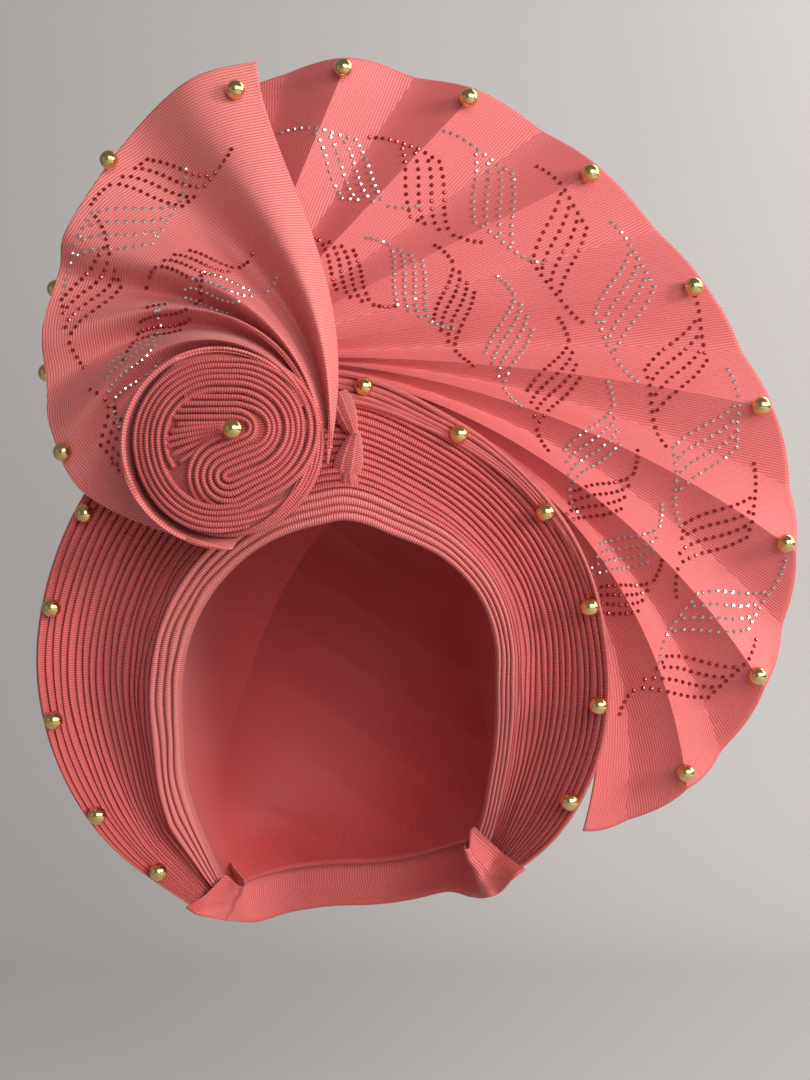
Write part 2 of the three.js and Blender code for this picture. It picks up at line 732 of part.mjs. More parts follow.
// The middle folds of the rosette, as paths in its plane: each comes from a cut end at the left,
// turns back round the first centre, then round the second one, and runs out along the rings.
function innerFoldPaths() {
  const heart = rosetteRadius - coilRings * coilPitch;
  const [first, second] = foldCentres.map(({ x, z }) => new THREE.Vector2(x * heart, z * heart));
  const paths = [];
  for (let k = 1; k <= innerFolds; k += 1) {
    const wide = k * coilPitch;
    const narrow = (innerFolds + 1 - k) * coilPitch;
    const left = (foldLeft + foldStagger * (k % 2)) * heart;
    const path = [new THREE.Vector2(left, first.y + wide)];
    for (let j = 0; j <= foldTurnSteps; j += 1) {
      path.push(onCircle(first, wide, 90 - (180 * j) / foldTurnSteps));
    }
    for (let j = 0; j <= foldTurnSteps; j += 1) {
      path.push(onCircle(second, narrow, 90 + (180 * j) / foldTurnSteps));
    }
    path.push(new THREE.Vector2(foldRight * heart, second.y - narrow));
    paths.push(path);
  }
  for (let k = 0; k < cutFolds; k += 1) {
    const rise = first.y - k * coilPitch;
    const left = (cutLeft - foldStagger * (k % 2)) * heart;
    paths.push([
      new THREE.Vector2(left, rise - coilPitch / 2),
      new THREE.Vector2(cutMiddle * heart, rise),
      new THREE.Vector2(cutRight * heart, rise),
    ]);
  }
  return paths;
}

// One fold as a low ridge along a path on the rosette's dome
function foldGeometry(path) {
  const half = coilPitch / 2;
  const sections = path.map((point, i) => {
    const before = path[Math.max(i - 1, 0)];
    const after = path[Math.min(i + 1, path.length - 1)];
    const side = after.clone().sub(before).normalize();
    side.set(-side.y, side.x);
    const front = rosetteFront(point.length() / rosetteRadius);
    return foldSection.map(({ across, sink }) => vec(
      point.x + side.x * across * half - rosetteLeft,
      front + sink * coilRise,
      (point.y + side.y * across * half) * rosetteHeightShare + rosetteRise,
    ));
  });
  const flat = foldSection.map(({ across, sink }) => new THREE.Vector2(across, -sink));
  return loft(sections, false, () => flat);
}

// The wound rosette, with its middle folds standing on the dome inside its rings
function woundRosette() {
  let solid = toSolid(rosetteGeometry(0, true));
  for (const path of innerFoldPaths()) solid = solid.add(toSolid(foldGeometry(path)));
  return toGeometry(solid);
}

// The fan's point on a fold line, a share b of the way from the hub to the rim
function fanPoint(line, b) {
  const reach = line.reach * fanReach;
  const radius = lerp(fanHubRadius, reach, b);
  const angle = radians(lerp(line.hubAngle, line.rimAngle, (radius / reach) ** line.bend));
  const base = -fanHubAhead * lerp(1, line.ahead, b);
  const fold = (line.fold * fanFold * lerp(fanHubFoldShare, 1, b)) / 2;
  return vec(radius * Math.cos(angle) - fanHubLeft, base - fold, radius * Math.sin(angle) + fanHubUp);
}

function fanGeometry() {
  const front = fanSteps.map((b) => fanLines.map((line) => fanPoint(line, b)));
  const back = front.map((row) => row.map((point) => point.clone().add(vec(0, fanWall, 0))));
  return wall(front, back);
}

// One leaf of the side tuck: a bulging pad with ribs along it, deep enough to reach the brim
function leafGeometry(leaf) {
  const length = leaf.length * tuckLength;
  const width = leaf.width * tuckWidth;
  const lean = radians(leaf.lean);
  const columns = 2 * tuckRibs + 1;
  const grid = (yOf) => tuckRows.map((v) => {
    const row = [];
    for (let j = 0; j < columns; j += 1) {
      const u = (2 * j) / (columns - 1) - 1;
      const across = (u * width * lerp(tuckTipShare, 1, Math.sqrt(1 - v * v))) / 2;
      const along = (v * length) / 2;
      row.push(vec(
        leaf.x * tuckLength + across * Math.cos(lean) - along * Math.sin(lean),
        yOf(u, v, j),
        leaf.z * tuckLength + tuckFoot + across * Math.sin(lean) + along * Math.cos(lean),
      ));
    }
    return row;
  });
  const frontOf = (u, v, j) => {
    const rib = j % 2 === 1 ? tuckRise : 0;
    return -leaf.ahead * bandAhead + tuckBulge * (u * u + v * v) + tuckRise - rib;
  };
  return wall(grid(frontOf), grid(() => -brimRimAhead));
}

function tuckGeometry() {
  const [first, ...others] = tuckLeaves.map((leaf) => toSolid(leafGeometry(leaf)));
  return toGeometry(others.reduce((all, leaf) => all.add(leaf), first));
}

// How far along Y a bead comes to rest against some meshes, from the front or the back
function seatDepth(meshes, x, z, side) {
  const radius = beadDiameter / 2 + gap;
  const toward = side === 'back' ? -1 : 1;
  const wellClear = 2 * fanReach;
  const ray = new THREE.Raycaster();
  let depth = Infinity;
  for (const share of seatRings) {
    for (let turn = 0; turn < seatTurns; turn += 1) {
      const angle = (2 * Math.PI * turn) / seatTurns;
      const out = share * radius;
      const start = vec(x + out * Math.cos(angle), -toward * wellClear, z + out * Math.sin(angle));
      ray.set(start, vec(0, toward, 0));
      const hits = ray.intersectObjects(meshes);
      if (hits.length) {
        depth = Math.min(depth, toward * hits[0].point.y - Math.sqrt(radius * radius - out * out));
      }
    }
  }
  return toward * depth;
}

function addBead(group, meshes, name, point, side) {
  const sphere = new THREE.SphereGeometry(beadDiameter / 2, beadSides, beadStacks);
  const bead = addPiece(group, name, sphere, gold);
  bead.position.set(point.x, seatDepth(meshes, point.x, point.z, side), point.z);
}

// The gold beads: along the rims of the fan, swirl and brim, and one in the rosette
function addBeads(group, { fan, swirl, brim, rosette }) {
  const ridges = fanLines.filter((line) => line.fold === 1);
  ridges.forEach((line, i) => {
    const inset = 1 - fanBeadInset / (line.reach * fanReach - fanHubRadius);
    addBead(group, [fan], `bead_fan_${i + 1}`, fanPoint(line, inset), 'front');
  });
  swirlBeads.forEach(({ place, share, side }, i) => {
    addBead(group, [swirl], `bead_swirl_${i + 1}`, swirlPoint(place, share), side);
  });
  brimBeadAngles.forEach((angle, i) => {
    const at = stationAt(angle);
    addBead(group, [brim], `bead_brim_${i + 1}`, aroundFace(angle, at.rim - brimBeadInset, 0), 'front');
  });
  const middle = vec(
    rosetteBeadAcross * rosetteRadius - rosetteLeft,
    0,
    rosetteBeadUp * rosetteRadius + rosetteRise,
  );
  addBead(group, [rosette], 'bead_rosette', middle, 'front');
}

function build() {
  const group = new THREE.Group();
  const plain = cloth(clothColour);
  const roomForCrown = crownGeometry(-gap, crownWall + gap, gap / headHalfWidth);
  const roomForBand = bandGeometry(gap);
  const roomForBrim = brimGeometry(gap);
  const roomForRosette = rosetteGeometry(gap, false);
  const roomForSwirl = swirlGeometry(gap);
  addPiece(group, 'crown', crownGeometry(0, crownWall, 0), cloth(crownColour));
  addPiece(group, 'face_band', bandGeometry(0), cloth(bandColour));
  const brim = addPiece(group, 'brim', brimGeometry(0), plain);
  const wound = fitted(woundRosette(), [roomForBrim, roomForBand]);
  const rosette = addPiece(group, 'rosette', wound, plain);
  const swirled = fitted(swirlGeometry(0), [roomForRosette, roomForBrim]);
  const swirl = addPiece(group, 'swirl', swirled, plain);
  const fan = addPiece(group, 'fan', fitted(fanGeometry(), [roomForBrim, roomForCrown]), plain);
  const neck = fitted(napeGeometry(), [roomForCrown, roomForBrim, roomForBand]);
  addPiece(group, 'nape_band', neck, plain);
  const rooms = [roomForBrim, roomForBand, roomForCrown, roomForRosette, roomForSwirl];
  addPiece(group, 'side_tuck', fitted(tuckGeometry(), rooms), plain);
  group.updateMatrixWorld(true);
  addBeads(group, { fan, swirl, brim, rosette });
  return group;
}

export default build();
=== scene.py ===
# The look of a tied gele: pleated brim, folded fan, swirl and rosette of ribbed cloth,
# gold beads, and cut stones in leaf sprigs. Lengths are in millimetres until a mesh is made.
import math

import bmesh
import bpy
import numpy as np
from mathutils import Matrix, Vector
from mathutils.bvhtree import BVHTree


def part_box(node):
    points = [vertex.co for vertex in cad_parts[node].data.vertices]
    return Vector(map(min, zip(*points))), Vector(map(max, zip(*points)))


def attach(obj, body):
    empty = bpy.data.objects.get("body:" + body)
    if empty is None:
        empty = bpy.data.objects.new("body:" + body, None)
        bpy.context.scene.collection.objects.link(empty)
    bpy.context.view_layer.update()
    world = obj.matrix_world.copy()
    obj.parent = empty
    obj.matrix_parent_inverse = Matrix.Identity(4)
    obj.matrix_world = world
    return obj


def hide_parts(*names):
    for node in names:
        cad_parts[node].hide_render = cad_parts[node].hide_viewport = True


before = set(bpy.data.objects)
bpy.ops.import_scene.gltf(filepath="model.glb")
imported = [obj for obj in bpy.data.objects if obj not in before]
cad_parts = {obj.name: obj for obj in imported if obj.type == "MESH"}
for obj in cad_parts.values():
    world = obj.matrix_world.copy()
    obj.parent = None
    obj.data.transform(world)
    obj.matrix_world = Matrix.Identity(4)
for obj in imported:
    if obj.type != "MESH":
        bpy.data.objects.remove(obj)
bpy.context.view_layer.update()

MM = 0.001

# Camera: the photograph's eye, level, with the object at its real size
EYE = (28, -825, -33)
LENS = 56.67
LONG_SENSOR = 36
NEAREST_SEEN = 20

# Sizes that the solids share
GAP = 0.3
HEAD_HALF = np.array([80, 100, 105])
HEAD_CENTRE = np.array([0, 5, -105])
HEAD_ROUNDNESS = 2.5
CROWN_WALL = 2
CROWN_INSET = 2.5
NAPE_BACK = 75
NAPE_DROP = 205
NAPE_STEPS = 8
POLE = np.array([0, 0.7, 1]) / math.hypot(0.7, 1)
FACE_RADIUS = 70
FACE_DROP = 95
BAND_AHEAD = 78
BAND_WIDTH = 14
BAND_DEPTH = 12
BAND_FOLDS = 4
BAND_RISE = 1.5
BAND_MOST = 0.38
BRIM_REACH = 130
BRIM_WALL = 3
BRIM_PLEATS = 17
BRIM_RISE = 1.9
BRIM_RIM_AHEAD = 46
BRIM_STEP = 4
BRIM_DIP = 16
DIP_PLACE = 0.3
NAPE_WALL = 2
NAPE_HANG = 22
NAPE_TURN = 10
ROSETTE_RADIUS = 37
ROSETTE_HEIGHT = 1.07
ROSETTE_LEFT = 52
ROSETTE_UP = 9
ROSETTE_AHEAD = 96
ROSETTE_DOME = 8
ROSETTE_BACK = 50
SWIRL_REACH = 178
SWIRL_CORE = 47
SWIRL_AHEAD = 92
SWIRL_FOLD = 7.6
SWIRL_SWEEP = 1.6
SWIRL_EASE = 2.2
SWIRL_FOLD_START = 0.25
SWIRL_FOLD_PEAK = 0.45
SWIRL_FOLD_END = 0.7
FAN_REACH = 296
FAN_FOLD = 12.5
FAN_HUB_LEFT = 54
FAN_HUB_UP = 50
FAN_HUB_AHEAD = 44
FAN_HUB_RADIUS = 24
FAN_HUB_FOLD = 0.2
TUCK_LENGTH = 20
TUCK_WIDTH = 12
BEAD = 8.6

# Sections of the face opening and brim: angle, face, width, band, front, flare, dip
BRIM_SECTIONS = [
    (-152, 1.80, 0.20, 1.00, -0.16, -0.04, 0.1),
    (-140, 1.56, 0.45, 1.00, 0.00, 0.22, 0.3),
    (-125, 1.35, 0.74, 1.00, 0.18, 0.46, 0.7),
    (-110, 1.18, 0.96, 1.00, 0.35, 0.66, 1.0),
    (-90, 1.08, 1.10, 1.00, 0.54, 0.88, 1.0),
    (-70, 1.03, 1.18, 1.00, 0.69, 0.94, 1.0),
    (-50, 1.00, 1.26, 1.00, 0.82, 0.96, 0.8),
    (-30, 0.99, 1.29, 1.00, 0.93, 0.98, 0.5),
    (-10, 0.99, 1.21, 1.00, 0.98, 1.00, 0.3),
    (2, 1.01, 1.12, 1.00, 1.00, 1.00, 0.3),
    (20, 0.97, 1.01, 0.90, 0.95, 1.00, 0.4),
    (40, 1.00, 0.91, 0.75, 0.88, 0.98, 0.7),
    (60, 1.02, 0.86, 0.65, 0.76, 0.96, 0.9),
    (80, 1.01, 0.85, 0.60, 0.62, 0.91, 1.0),
    (95, 1.01, 0.87, 0.60, 0.50, 0.83, 1.0),
    (112, 1.09, 0.82, 0.60, 0.32, 0.63, 0.9),
    (128, 1.24, 0.67, 0.60, 0.14, 0.42, 0.6),
    (144, 1.50, 0.34, 0.60, -0.06, 0.18, 0.2),
]

# Fold lines of the fan: hub angle, rim angle, reach, bend, ahead, fold
FAN_LINES = [
    (96, 92, 0.420, 0.9, 0.40, 0.0),
    (82, 80, 0.470, 0.9, 0.45, -0.5),
    (69, 68.5, 0.515, 0.9, 0.60, 1.0),
    (57, 57.5, 0.540, 0.9, 0.60, -1.0),
    (48, 47.5, 0.580, 0.9, 0.62, 1.0),
    (37, 37, 0.615, 0.9, 0.62, -1.0),
    (28, 27.3, 0.660, 0.9, 0.63, 1.0),
    (19, 17.5, 0.705, 0.9, 0.63, -1.0),
    (10, 9, 0.760, 0.9, 0.63, 1.0),
    (6, 1.5, 0.808, 0.9, 0.63, -1.0),
    (3, -5, 0.860, 0.9, 0.62, 1.0),
    (3, -12.3, 0.905, 0.9, 0.60, -1.0),
    (2, -18.5, 0.943, 0.9, 0.56, 1.0),
    (1, -25.2, 0.968, 0.9, 0.52, -1.0),
    (0, -31.3, 0.992, 0.9, 0.46, 1.0),
    (-3, -38, 0.995, 1.1, 0.40, -1.0),
    (-6, -43, 0.995, 1.3, 0.34, 1.0),
    (-11, -49, 0.965, 1.7, 0.30, -0.8),
    (-17, -53, 0.940, 2.1, 0.28, 0.0),
]

# Fold lines of the swirl: from, core, to, reach, climb, ahead, rim ahead, fold
SWIRL_LINES = [
    (-11, 1.01, 86, 1.00, 2.0, 0.90, 0.50, 0.0),
    (-2, 1.01, 96, 0.95, 2.0, 0.93, 0.50, 0.8),
    (8, 0.99, 108, 0.86, 1.9, 0.88, 0.46, -1.0),
    (12, 0.94, 126, 0.705, 1.8, 0.95, 0.48, 1.0),
    (14, 0.92, 134, 0.645, 1.9, 0.94, 0.48, -0.8),
    (16, 0.90, 148, 0.565, 1.5, 0.98, 0.50, 0.9),
    (18, 0.885, 160, 0.505, 1.5, 0.97, 0.53, -0.7),
    (20, 0.87, 175, 0.450, 2.0, 1.00, 0.57, 0.9),
    (22, 0.86, 200, 0.375, 2.2, 0.96, 0.66, -1.0),
    (24, 0.845, 268, 0.256, 1.6, 1.01, 0.95, 0.5),
    (26, 0.825, 280, 0.215, 1.6, 0.92, 0.84, 0.0),
]

# Leaves of the side tuck: x, z, length, width, lean, ahead, and how much wider it is at the foot
TUCK_LEAVES = [
    (0.05, 1.2, 1.1, 0.9, 20, 0.80, -0.35),
    (0.18, 0.25, 1.1, 1.0, -14, 0.90, 0.45),
    (0.16, -0.38, 0.45, 0.7, 0, 0.95, 0.0),
]


def lerp(a, b, t):
    return a + (b - a) * t


def smooth(t):
    t = np.clip(t, 0, 1)
    return t * t * (3 - 2 * t)


def points(x, y, z):
    x, y, z = np.broadcast_arrays(x, y, z)
    return np.stack([x, y, z], axis=-1).astype(float)


def rows_at(table, keys):
    """The columns of a table at any values of its first one, on smooth curves through its rows."""
    rows = np.array(table, float)
    last = len(rows) - 1
    i = np.clip(np.searchsorted(rows[:, 0], keys, side="left") - 1, 0, last - 1)
    before, start, end = rows[np.maximum(i - 1, 0)], rows[i], rows[i + 1]
    after = rows[np.minimum(i + 2, last)]
    span = (end[:, 0] - start[:, 0])[:, None]
    t = (np.asarray(keys)[:, None] - start[:, :1]) / span
    slope_start = (end - before) / (end[:, :1] - before[:, :1]) * span
    slope_end = (after - start) / (after[:, :1] - start[:, :1]) * span
    t2, t3 = t * t, t * t * t
    made = (2 * t3 - 3 * t2 + 1) * start + (t3 - 2 * t2 + t) * slope_start
    made += (3 * t2 - 2 * t3) * end + (t3 - t2) * slope_end
    return made.T


# Waves of a ripple, how much each one is drawn out or in, and the sum of them that counts as 1
RIPPLE_WAVES = 3
RIPPLE_STRETCH = (0.7, 1.3)
RIPPLE_SUM = 1.6


def ripple(seed, where):
    """A smooth wandering value near -1 to 1, the same for the same seed."""
    draw = np.random.default_rng(seed)
    total = np.zeros_like(np.asarray(where, float))
    for k in range(1, RIPPLE_WAVES + 1):
        stretch = draw.uniform(*RIPPLE_STRETCH)
        total += np.sin(where * k * stretch + draw.uniform(0, 2 * math.pi)) / k
    return total / RIPPLE_SUM


# Meshes

WELD = 0.002
CREASE = math.radians(52)
FAN_CREASE = math.radians(12)


def along(grid, axis):
    """Length run so far along one axis of a grid of points."""
    steps = np.linalg.norm(np.diff(grid, axis=axis), axis=-1)
    start = np.zeros_like(np.take(steps, [0], axis=axis))
    return np.concatenate([start, np.cumsum(steps, axis=axis)], axis=axis)


def corners(values):
    """The values at the four corners of each face of a grid."""
    around = [values[:-1, :-1], values[:-1, 1:], values[1:, 1:], values[1:, :-1]]
    return np.stack(around, -1).reshape(-1, 4)


def mesh_of(name, places, faces):
    mesh = bpy.data.meshes.new(name)
    mesh.from_pydata(places.tolist(), [], faces)
    return mesh


def linked(name, data):
    """A new object in the scene."""
    made = bpy.data.objects.new(name, data)
    bpy.context.scene.collection.objects.link(made)
    return made


class Patch:
    """Grids of points with their weave coordinates, collected into one mesh."""

    def __init__(self):
        self.points, self.faces, self.uvs, self.count = [], [], [], 0

    def add(self, grid, u=None, v=None, outward=(0, -1, 0)):
        """u runs across the ribs and v along them: by default, down and along the grid's rows.
        The front faces outward: a direction, "centre" for away from the head, or zeros to leave
        the grid as it is."""
        u = along(grid, 0) if u is None else u
        v = along(grid, 1) if v is None else v
        index = np.arange(u.size).reshape(u.shape)
        quads, us, vs = (corners(values) for values in (index, u, v))
        here = grid[:-1, :-1]
        normals = np.cross(grid[:-1, 1:] - here, grid[1:, :-1] - here)
        away = here - HEAD_CENTRE if outward == "centre" else np.array(outward)
        if (normals * away).sum() < 0:
            quads, us, vs = quads[:, ::-1], us[:, ::-1], vs[:, ::-1]
        self.points.append(grid.reshape(-1, 3))
        self.faces.append(quads + self.count)
        self.uvs.append(np.stack([us, vs], -1))
        self.count += index.size

    def build(self, name, slot, thickness=0, replaces=(), crease=CREASE, look=None):
        mesh = mesh_of(name, np.concatenate(self.points) * MM, np.concatenate(self.faces).tolist())
        layer = mesh.uv_layers.new(name="weave")
        layer.data.foreach_set("uv", np.concatenate(self.uvs).astype(np.float32).ravel())
        joined = bmesh.new()
        joined.from_mesh(mesh)
        bmesh.ops.remove_doubles(joined, verts=joined.verts, dist=WELD * MM)
        joined.to_mesh(mesh)
        joined.free()
        return finished(name, mesh, cloths[look or slot], thickness, replaces, crease)


def finished(name, mesh, material, thickness=0, replaces=(), crease=CREASE):
    """The mesh as a piece that rides on the root, smooth apart from its creases."""
    mesh.polygons.foreach_set("use_smooth", [True] * len(mesh.polygons))
    mesh.set_sharp_from_angle(angle=crease)
    mesh.materials.append(material)
    mesh.update()
    piece = linked(name, mesh)
    if thickness:
        solid = piece.modifiers.new("cloth", "SOLIDIFY")
        solid.thickness = thickness * MM
        solid.offset = -1
    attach(piece, "root")
    if replaces:
        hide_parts(*replaces)
    return piece


# Materials

# Fine threads across the ribs: their pitch, and their height as a share of a rib's
THREAD_PITCH = 0.5
THREAD_HEIGHT = 0.06
# How far the ribs drift, as a share of their pitch, and how round they are
RIB_DRIFT = 0.5
RIB_ROUNDNESS = 0.6
# Noise, its scale and its detail: of the drift per millimetre of weave, of the others per metre
DRIFT_NOISE = (0.16, 2.0)
CLOUD_NOISE = (22.0, 3.0)
GLINT_NOISE = (1500.0, 1.0)
# The painted shade in the grooves between the ribs: its colour, as shares of the cloth's colour that
# keep it warm
GROOVE_SHADE_TINT = np.array([1, 0.6, 0.64])
# Clouds: the gain and lift of their colour, how much of it shows, and the roughness in them
CLOUD_SHADE = (1.08, 0.02)
CLOUD_SHARE = 0.35
CLOTH_ROUGHNESS = (0.38, 0.52)
# Glints: the noise at which they start and are full, how much of them shows, and their colour
GLINT_RANGE = (0.66, 0.86)
GLINT_SHARE = 0.3
GLINT_COLOUR = (1.0, 0.62, 0.56, 1)
CLOTH_RELIEF = 0.9
CLOTH_GLOSS = [
    ("Specular IOR Level", 0.45),
    ("Sheen Weight", 0.25),
    ("Sheen Roughness", 0.45),
    ("Sheen Tint", (1.0, 0.72, 0.68, 1)),
]
# Gold and stones: how dark their marks are, how their roughness varies, and their marks' relief
MARK_DETAIL = 2.0
MARK_SHADE = 0.9
MARK_ROUGHNESS = (0.7, 1.4)
MARK_RELIEF = 0.1
MARK_DEPTH = 0.05


def feed(tree, target, values):
    """Sets or links inputs of a node, each by its name or number."""
    for socket, value in values:
        if isinstance(value, bpy.types.NodeSocket):
            tree.links.new(value, target.inputs[socket])
        else:
            target.inputs[socket].default_value = value


def node(tree, kind, values=(), **settings):
    made = tree.nodes.new(kind)
    for key, value in settings.items():
        setattr(made, key, value)
    feed(tree, made, values)
    return made


def new_material(name):
    """A material, its nodes and its shader."""
    material = bpy.data.materials.new(name)
    material.use_nodes = True
    return material, material.node_tree, material.node_tree.nodes["Principled BSDF"]


def math_node(tree, operation, *values):
    return node(tree, "ShaderNodeMath", enumerate(values), operation=operation).outputs[0]


def waves(tree, value, pitch):
    """A sine of a value that repeats at a pitch."""
    return math_node(tree, "SINE", math_node(tree, "MULTIPLY", value, 2 * math.pi / pitch))


def noise(tree, scale, detail, place=None):
    """Noise at a place, which is the one in the object if none is given."""
    if place is None:
        place = node(tree, "ShaderNodeTexCoord").outputs["Object"]
    settings = [("Vector", place), ("Scale", scale), ("Detail", detail)]
    return node(tree, "ShaderNodeTexNoise", settings).outputs[0]


def ranged(tree, value, low, high, start=0, end=1):
    """A value from start to end as one from low to high."""
    settings = enumerate([value, start, end, low, high])
    return node(tree, "ShaderNodeMapRange", settings).outputs[0]


def relief(tree, height, strength, depth):
    settings = [("Height", height), ("Strength", strength), ("Distance", depth * MM)]
    return node(tree, "ShaderNodeBump", settings).outputs[0]


def blend_colour(tree, amount, first, second):
    made = node(tree, "ShaderNodeMix", [(0, amount), (6, first), (7, second)], data_type="RGBA")
    return made.outputs[2]


def linear(srgb):
    """An sRGB colour in 0 to 255 as a linear one."""
    made = [(c / 255 / 12.92) if c <= 10.3 else ((c / 255 + 0.055) / 1.055) ** 2.4 for c in srgb]
    return (*made, 1)


def shade(colour, gain, lift=0):
    """A colour with its channels times a gain and raised."""
    return (*np.minimum(1, np.array(colour[:3]) * gain + lift).tolist(), 1)


def cloth(name, colour, pitch, rib_depth, groove):
    """Ribbed satin cloth: ribs across the weave's u coordinate, fine threads over them, and painted
    shade in the grooves between the ribs, whose brightness groove gives.
    """
    material, tree, shader = new_material(name)
    weave = node(tree, "ShaderNodeUVMap", uv_map="weave").outputs[0]
    u, v = node(tree, "ShaderNodeSeparateXYZ", [(0, weave)]).outputs[:2]
    drift = math_node(tree, "MULTIPLY", noise(tree, *DRIFT_NOISE, weave), pitch * RIB_DRIFT)
    wave = waves(tree, math_node(tree, "ADD", u, drift), pitch)
    rib = math_node(tree, "POWER", math_node(tree, "MULTIPLY_ADD", wave, 0.5, 0.5), RIB_ROUNDNESS)
    threads = waves(tree, v, THREAD_PITCH)
    height = math_node(tree, "MULTIPLY_ADD", threads, THREAD_HEIGHT, rib)
    # Painted shade: the cloth's colour darkened towards a warm red in the grooves between the ribs
    ribbed = blend_colour(tree, rib, shade(colour, groove * GROOVE_SHADE_TINT), colour)
    cloud = noise(tree, *CLOUD_NOISE)
    cloudy = math_node(tree, "MULTIPLY", cloud, CLOUD_SHARE)
    clouded = blend_colour(tree, cloudy, ribbed, shade(colour, *CLOUD_SHADE))
    glint = ranged(tree, noise(tree, *GLINT_NOISE), 0, GLINT_SHARE, *GLINT_RANGE)
    feed(tree, shader, [
        ("Base Color", blend_colour(tree, glint, clouded, GLINT_COLOUR)),
        ("Normal", relief(tree, height, CLOTH_RELIEF, rib_depth)),
        ("Roughness", ranged(tree, cloud, *CLOTH_ROUGHNESS)),
        *CLOTH_GLOSS,
    ])
    return material


def polished(name, colour, roughness, metallic, mark_scale):
    """Gold and stones: a gloss that varies a little over the surface."""
    material, tree, shader = new_material(name)
    mark = noise(tree, mark_scale, MARK_DETAIL)
    smoothest, roughest = (roughness * share for share in MARK_ROUGHNESS)
    feed(tree, shader, [
        ("Base Color", blend_colour(tree, mark, shade(colour, MARK_SHADE), colour)),
        ("Normal", relief(tree, mark, MARK_RELIEF, MARK_DEPTH)),
        ("Roughness", ranged(tree, mark, smoothest, roughest)),
        ("Metallic", metallic),
    ])
    return material


CORAL = (222, 104, 101)
# A paler copy of the one coral cloth for the swirl and the tuck, which paints in the light and sheen
# that they catch
PALE_LIT_CORAL = (231, 127, 121)
RIB_PITCH = 1.1
WIDE_RIB_PITCH = 1.35
# Cloths: name, colour, pitch and depth of the ribs, and brightness of the painted shade in the
# grooves between them
CLOTHS = [
    ("fan_cloth", (220, 109, 106), WIDE_RIB_PITCH, 0.16, 0.72),
    ("swirl_cloth", PALE_LIT_CORAL, WIDE_RIB_PITCH, 0.22, 0.66),
    ("rosette_cloth", CORAL, RIB_PITCH, 0.35, 0.5),
    ("brim_cloth", CORAL, RIB_PITCH, 0.32, 0.55),
    # The band's paler copy of the coral paints in the light on its front
    ("band_cloth", (236, 129, 123), RIB_PITCH, 0.32, 0.55),
    ("crown_cloth", (208, 84, 82), WIDE_RIB_PITCH, 0.18, 0.62),
    ("nape_cloth", CORAL, WIDE_RIB_PITCH, 0.22, 0.62),
    ("tuck_cloth", PALE_LIT_CORAL, RIB_PITCH, 0.35, 0.48),
]
cloths = {name: cloth(name, linear(colour), *ribs) for name, colour, *ribs in CLOTHS}
gold = polished("gold", linear((236, 205, 140)), 0.18, 1.0, 180)
silver_stone = polished("silver_stone", linear((226, 224, 222)), 0.1, 0.85, 700)
red_stone = polished("red_stone", linear((172, 62, 58)), 0.16, 0.8, 700)


# Sections of the brim and band


class Sections:
    """The sizes of the face opening, band and brim at some angles."""

    def __init__(self, angles):
        _, face, width, band, front, flare, dip = rows_at(BRIM_SECTIONS, angles)
        self.angle = np.asarray(angles, float)
        self.face = face * FACE_RADIUS
        self.rim = self.face + width * (BRIM_REACH - FACE_RADIUS)
        self.width = np.minimum(band * BAND_WIDTH, BAND_MOST * (self.rim - self.face))
        self.front = -front * BAND_AHEAD
        self.rim_front = -flare * BRIM_RIM_AHEAD
        self.dip = dip * BRIM_DIP
        self.inner = self.face + self.width + GAP

    def brim_front(self, u):
        """The brim's front at shares u of the way from the band to the rim, a row for each angle."""
        rising = np.sin(math.pi / 2 * np.minimum(u / DIP_PLACE, 1))
        falling = np.cos(math.pi / 2 * np.clip((u - DIP_PLACE) / (1 - DIP_PLACE), 0, 1))
        share = np.where(u < DIP_PLACE, rising, falling)
        start = (self.front + BRIM_STEP)[:, None]
        return lerp(start, self.rim_front[:, None], u) + self.dip[:, None] * share


def around_face(angle, radius, y):
    turn = np.radians(angle)
    return points(radius * np.sin(turn), y, radius * np.cos(turn) - FACE_DROP)


FIRST_ANGLE = BRIM_SECTIONS[0][0]
LAST_ANGLE = BRIM_SECTIONS[-1][0]


def brim_under(x, z, default):
    """The brim's unpleated front at places seen from the front, or default outside it, and how
    far each place is on the way from its inner edge to its rim."""
    x, z = np.asarray(x, float), np.asarray(z, float)
    angle = np.degrees(np.arctan2(x, z + FACE_DROP))
    radius = np.hypot(x, z + FACE_DROP)
    at = Sections(np.clip(angle, FIRST_ANGLE, LAST_ANGLE).ravel())
    share = (radius.ravel() - at.inner) / (at.rim - at.inner)
    front = at.brim_front(np.clip(share, 0, 1)[:, None])[:, 0]
    outside = (share > 1) | (share < 0)
    return np.where(outside, default, front).reshape(x.shape), share.reshape(x.shape)


PLEAT_STEPS = 8
# How far a pleat's crest lies past its middle, and how flat its top is
PLEAT_LEAN = 1.25
PLEAT_FLATNESS = 2.4
BRIM_GROOVE = 1.3
RING_STATIONS = 300
# How often a pleat's edges and its height change round the face, and by how much its height does
EDGE_WAVES = 6
HEIGHT_WAVES = 4
HEIGHT_CHANGE = 0.35
HEIGHT_SEED = 50
# The innermost pleats wander more at the left: how many, how much more, and from what angle
LOOSE_PLEATS = 5
LOOSE_MORE = 1.6
LOOSE_FROM = -20
LOOSE_SPAN = 40


def pleat_profile(t):
    """Height across one pleat, from 0 in the grooves to 1 on a crest a little outward."""
    lean = t ** PLEAT_LEAN
    return np.sqrt(np.clip(1 - np.abs(2 * lean - 1) ** PLEAT_FLATNESS, 0, 1))


